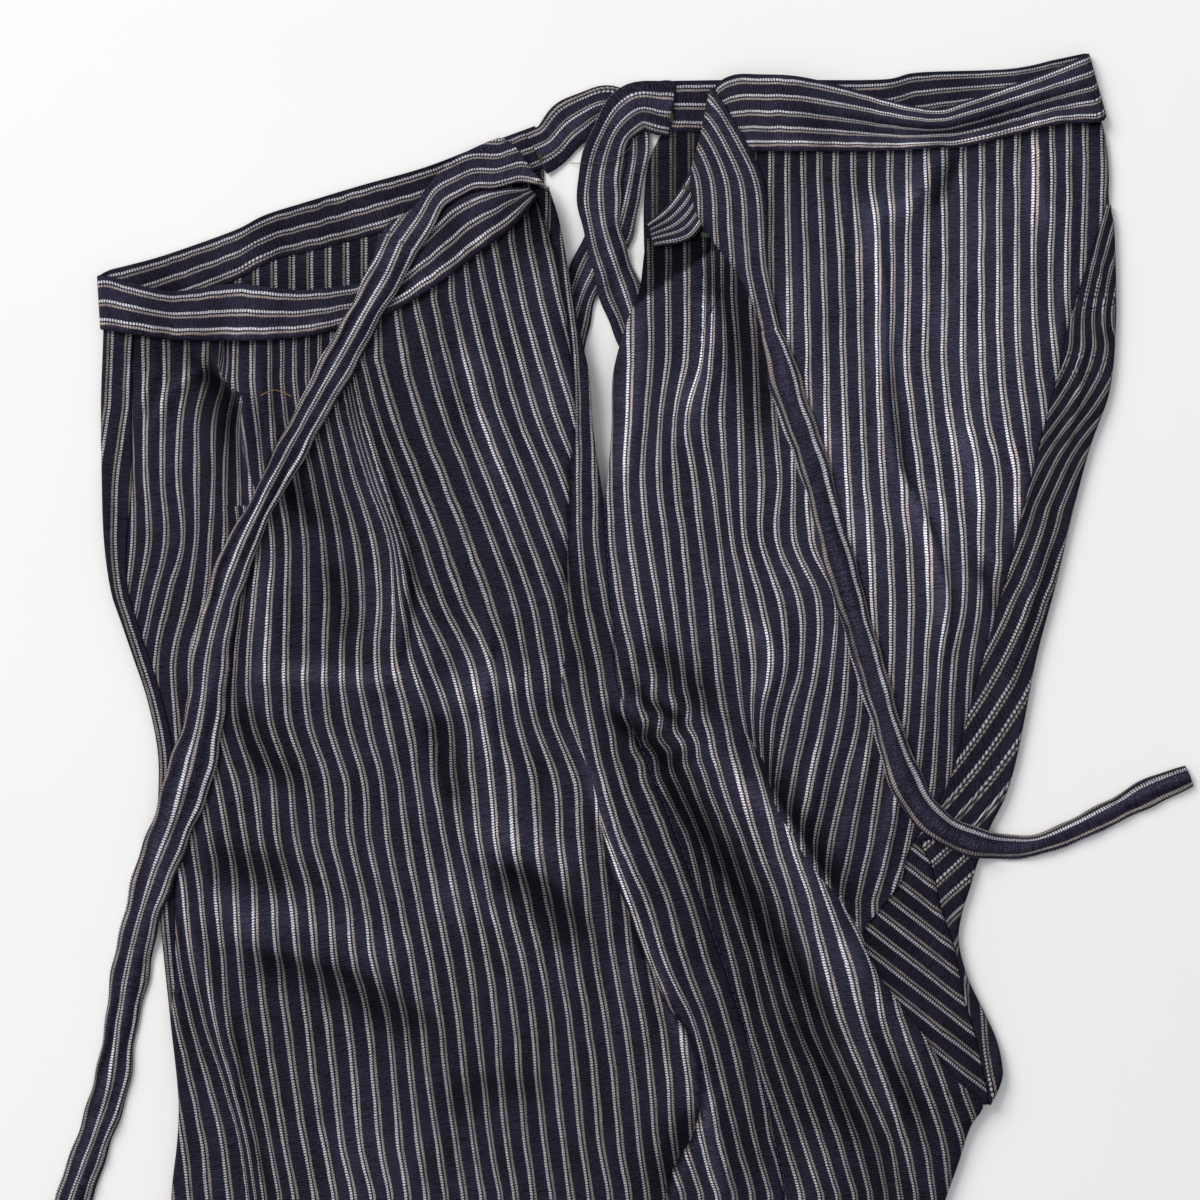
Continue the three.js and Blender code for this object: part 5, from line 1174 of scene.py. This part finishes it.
strands("side_seam_stitches", stitches([(d, f + 0.3) for d, f, b in SIDE_SEAM], 3.2, 0.3, 0.0), 0.16,
        NAVY_THREAD)
strands("bar_tacks",
        [path for spot in [(227, 66, 4, 1.3), (229, 79, 3.5, 0.4), (282, 49, 3.5, 1.5), (288, 79, 3.5, 0.4),
                           (296, 99, 3.5, 0.2)] for path in tack(*spot)], 0.13, GREEN_THREAD)
strands("loose_threads", [loose([(570, 162), (596, 163), (620, 157), (640, 135)], 0.3)], 0.14, GREEN_THREAD)
strands("loose_end", [loose([(262, 397), (274, 391), (284, 393), (292, 397)], 0.3)], 0.16, TAN_THREAD)

# ---------------------------------------------------------------------------------------------
# floor, light and camera

VIEW_WIDTH, VIEW_X, VIEW_Y, VIEW_HEIGHT = 0.504, -0.004, 0.2241, 1.404

floor = bpy.data.meshes.new("floor")
floor.from_pydata([(-3, -3, 0), (3, -3, 0), (3, 3, 0), (-3, 3, 0)], [], [(0, 1, 2, 3)])
floor.materials.append(table_top("table_top"))
ground = bpy.data.objects.new("floor", floor)
bpy.context.scene.collection.objects.link(ground)

world = bpy.data.worlds.new("studio")
world.use_nodes = True
world.node_tree.nodes["Background"].inputs["Color"].default_value = (0.93, 0.95, 1.0, 1.0)
world.node_tree.nodes["Background"].inputs["Strength"].default_value = 0.54
bpy.context.scene.world = world
bpy.context.scene.view_settings.view_transform = "Standard"


def lamp(name, place, size, power, color):
    """A square soft light at a place, facing the middle of the view."""
    data = bpy.data.lights.new(name, "AREA")
    data.size, data.energy, data.color = size, power, color
    made = bpy.data.objects.new(name, data)
    bpy.context.scene.collection.objects.link(made)
    made.location = place
    aim = np.array([VIEW_X, VIEW_Y, 0.0]) - np.array(place)
    made.rotation_euler = (math.atan2(math.hypot(aim[0], aim[1]), -aim[2]), 0,
                           math.atan2(aim[1], aim[0]) - math.pi / 2)


lamp("window", (-2.5, 2.72, 2.5), 2.3, 175, (1.0, 0.985, 0.965))

lens = bpy.data.cameras.new("camera")
lens.sensor_width = 36
lens.lens = 36 * (VIEW_HEIGHT - 0.004) / VIEW_WIDTH
camera = bpy.data.objects.new("camera", lens)
camera.location = (VIEW_X, VIEW_Y, VIEW_HEIGHT)
bpy.context.scene.collection.objects.link(camera)
bpy.context.scene.camera = camera
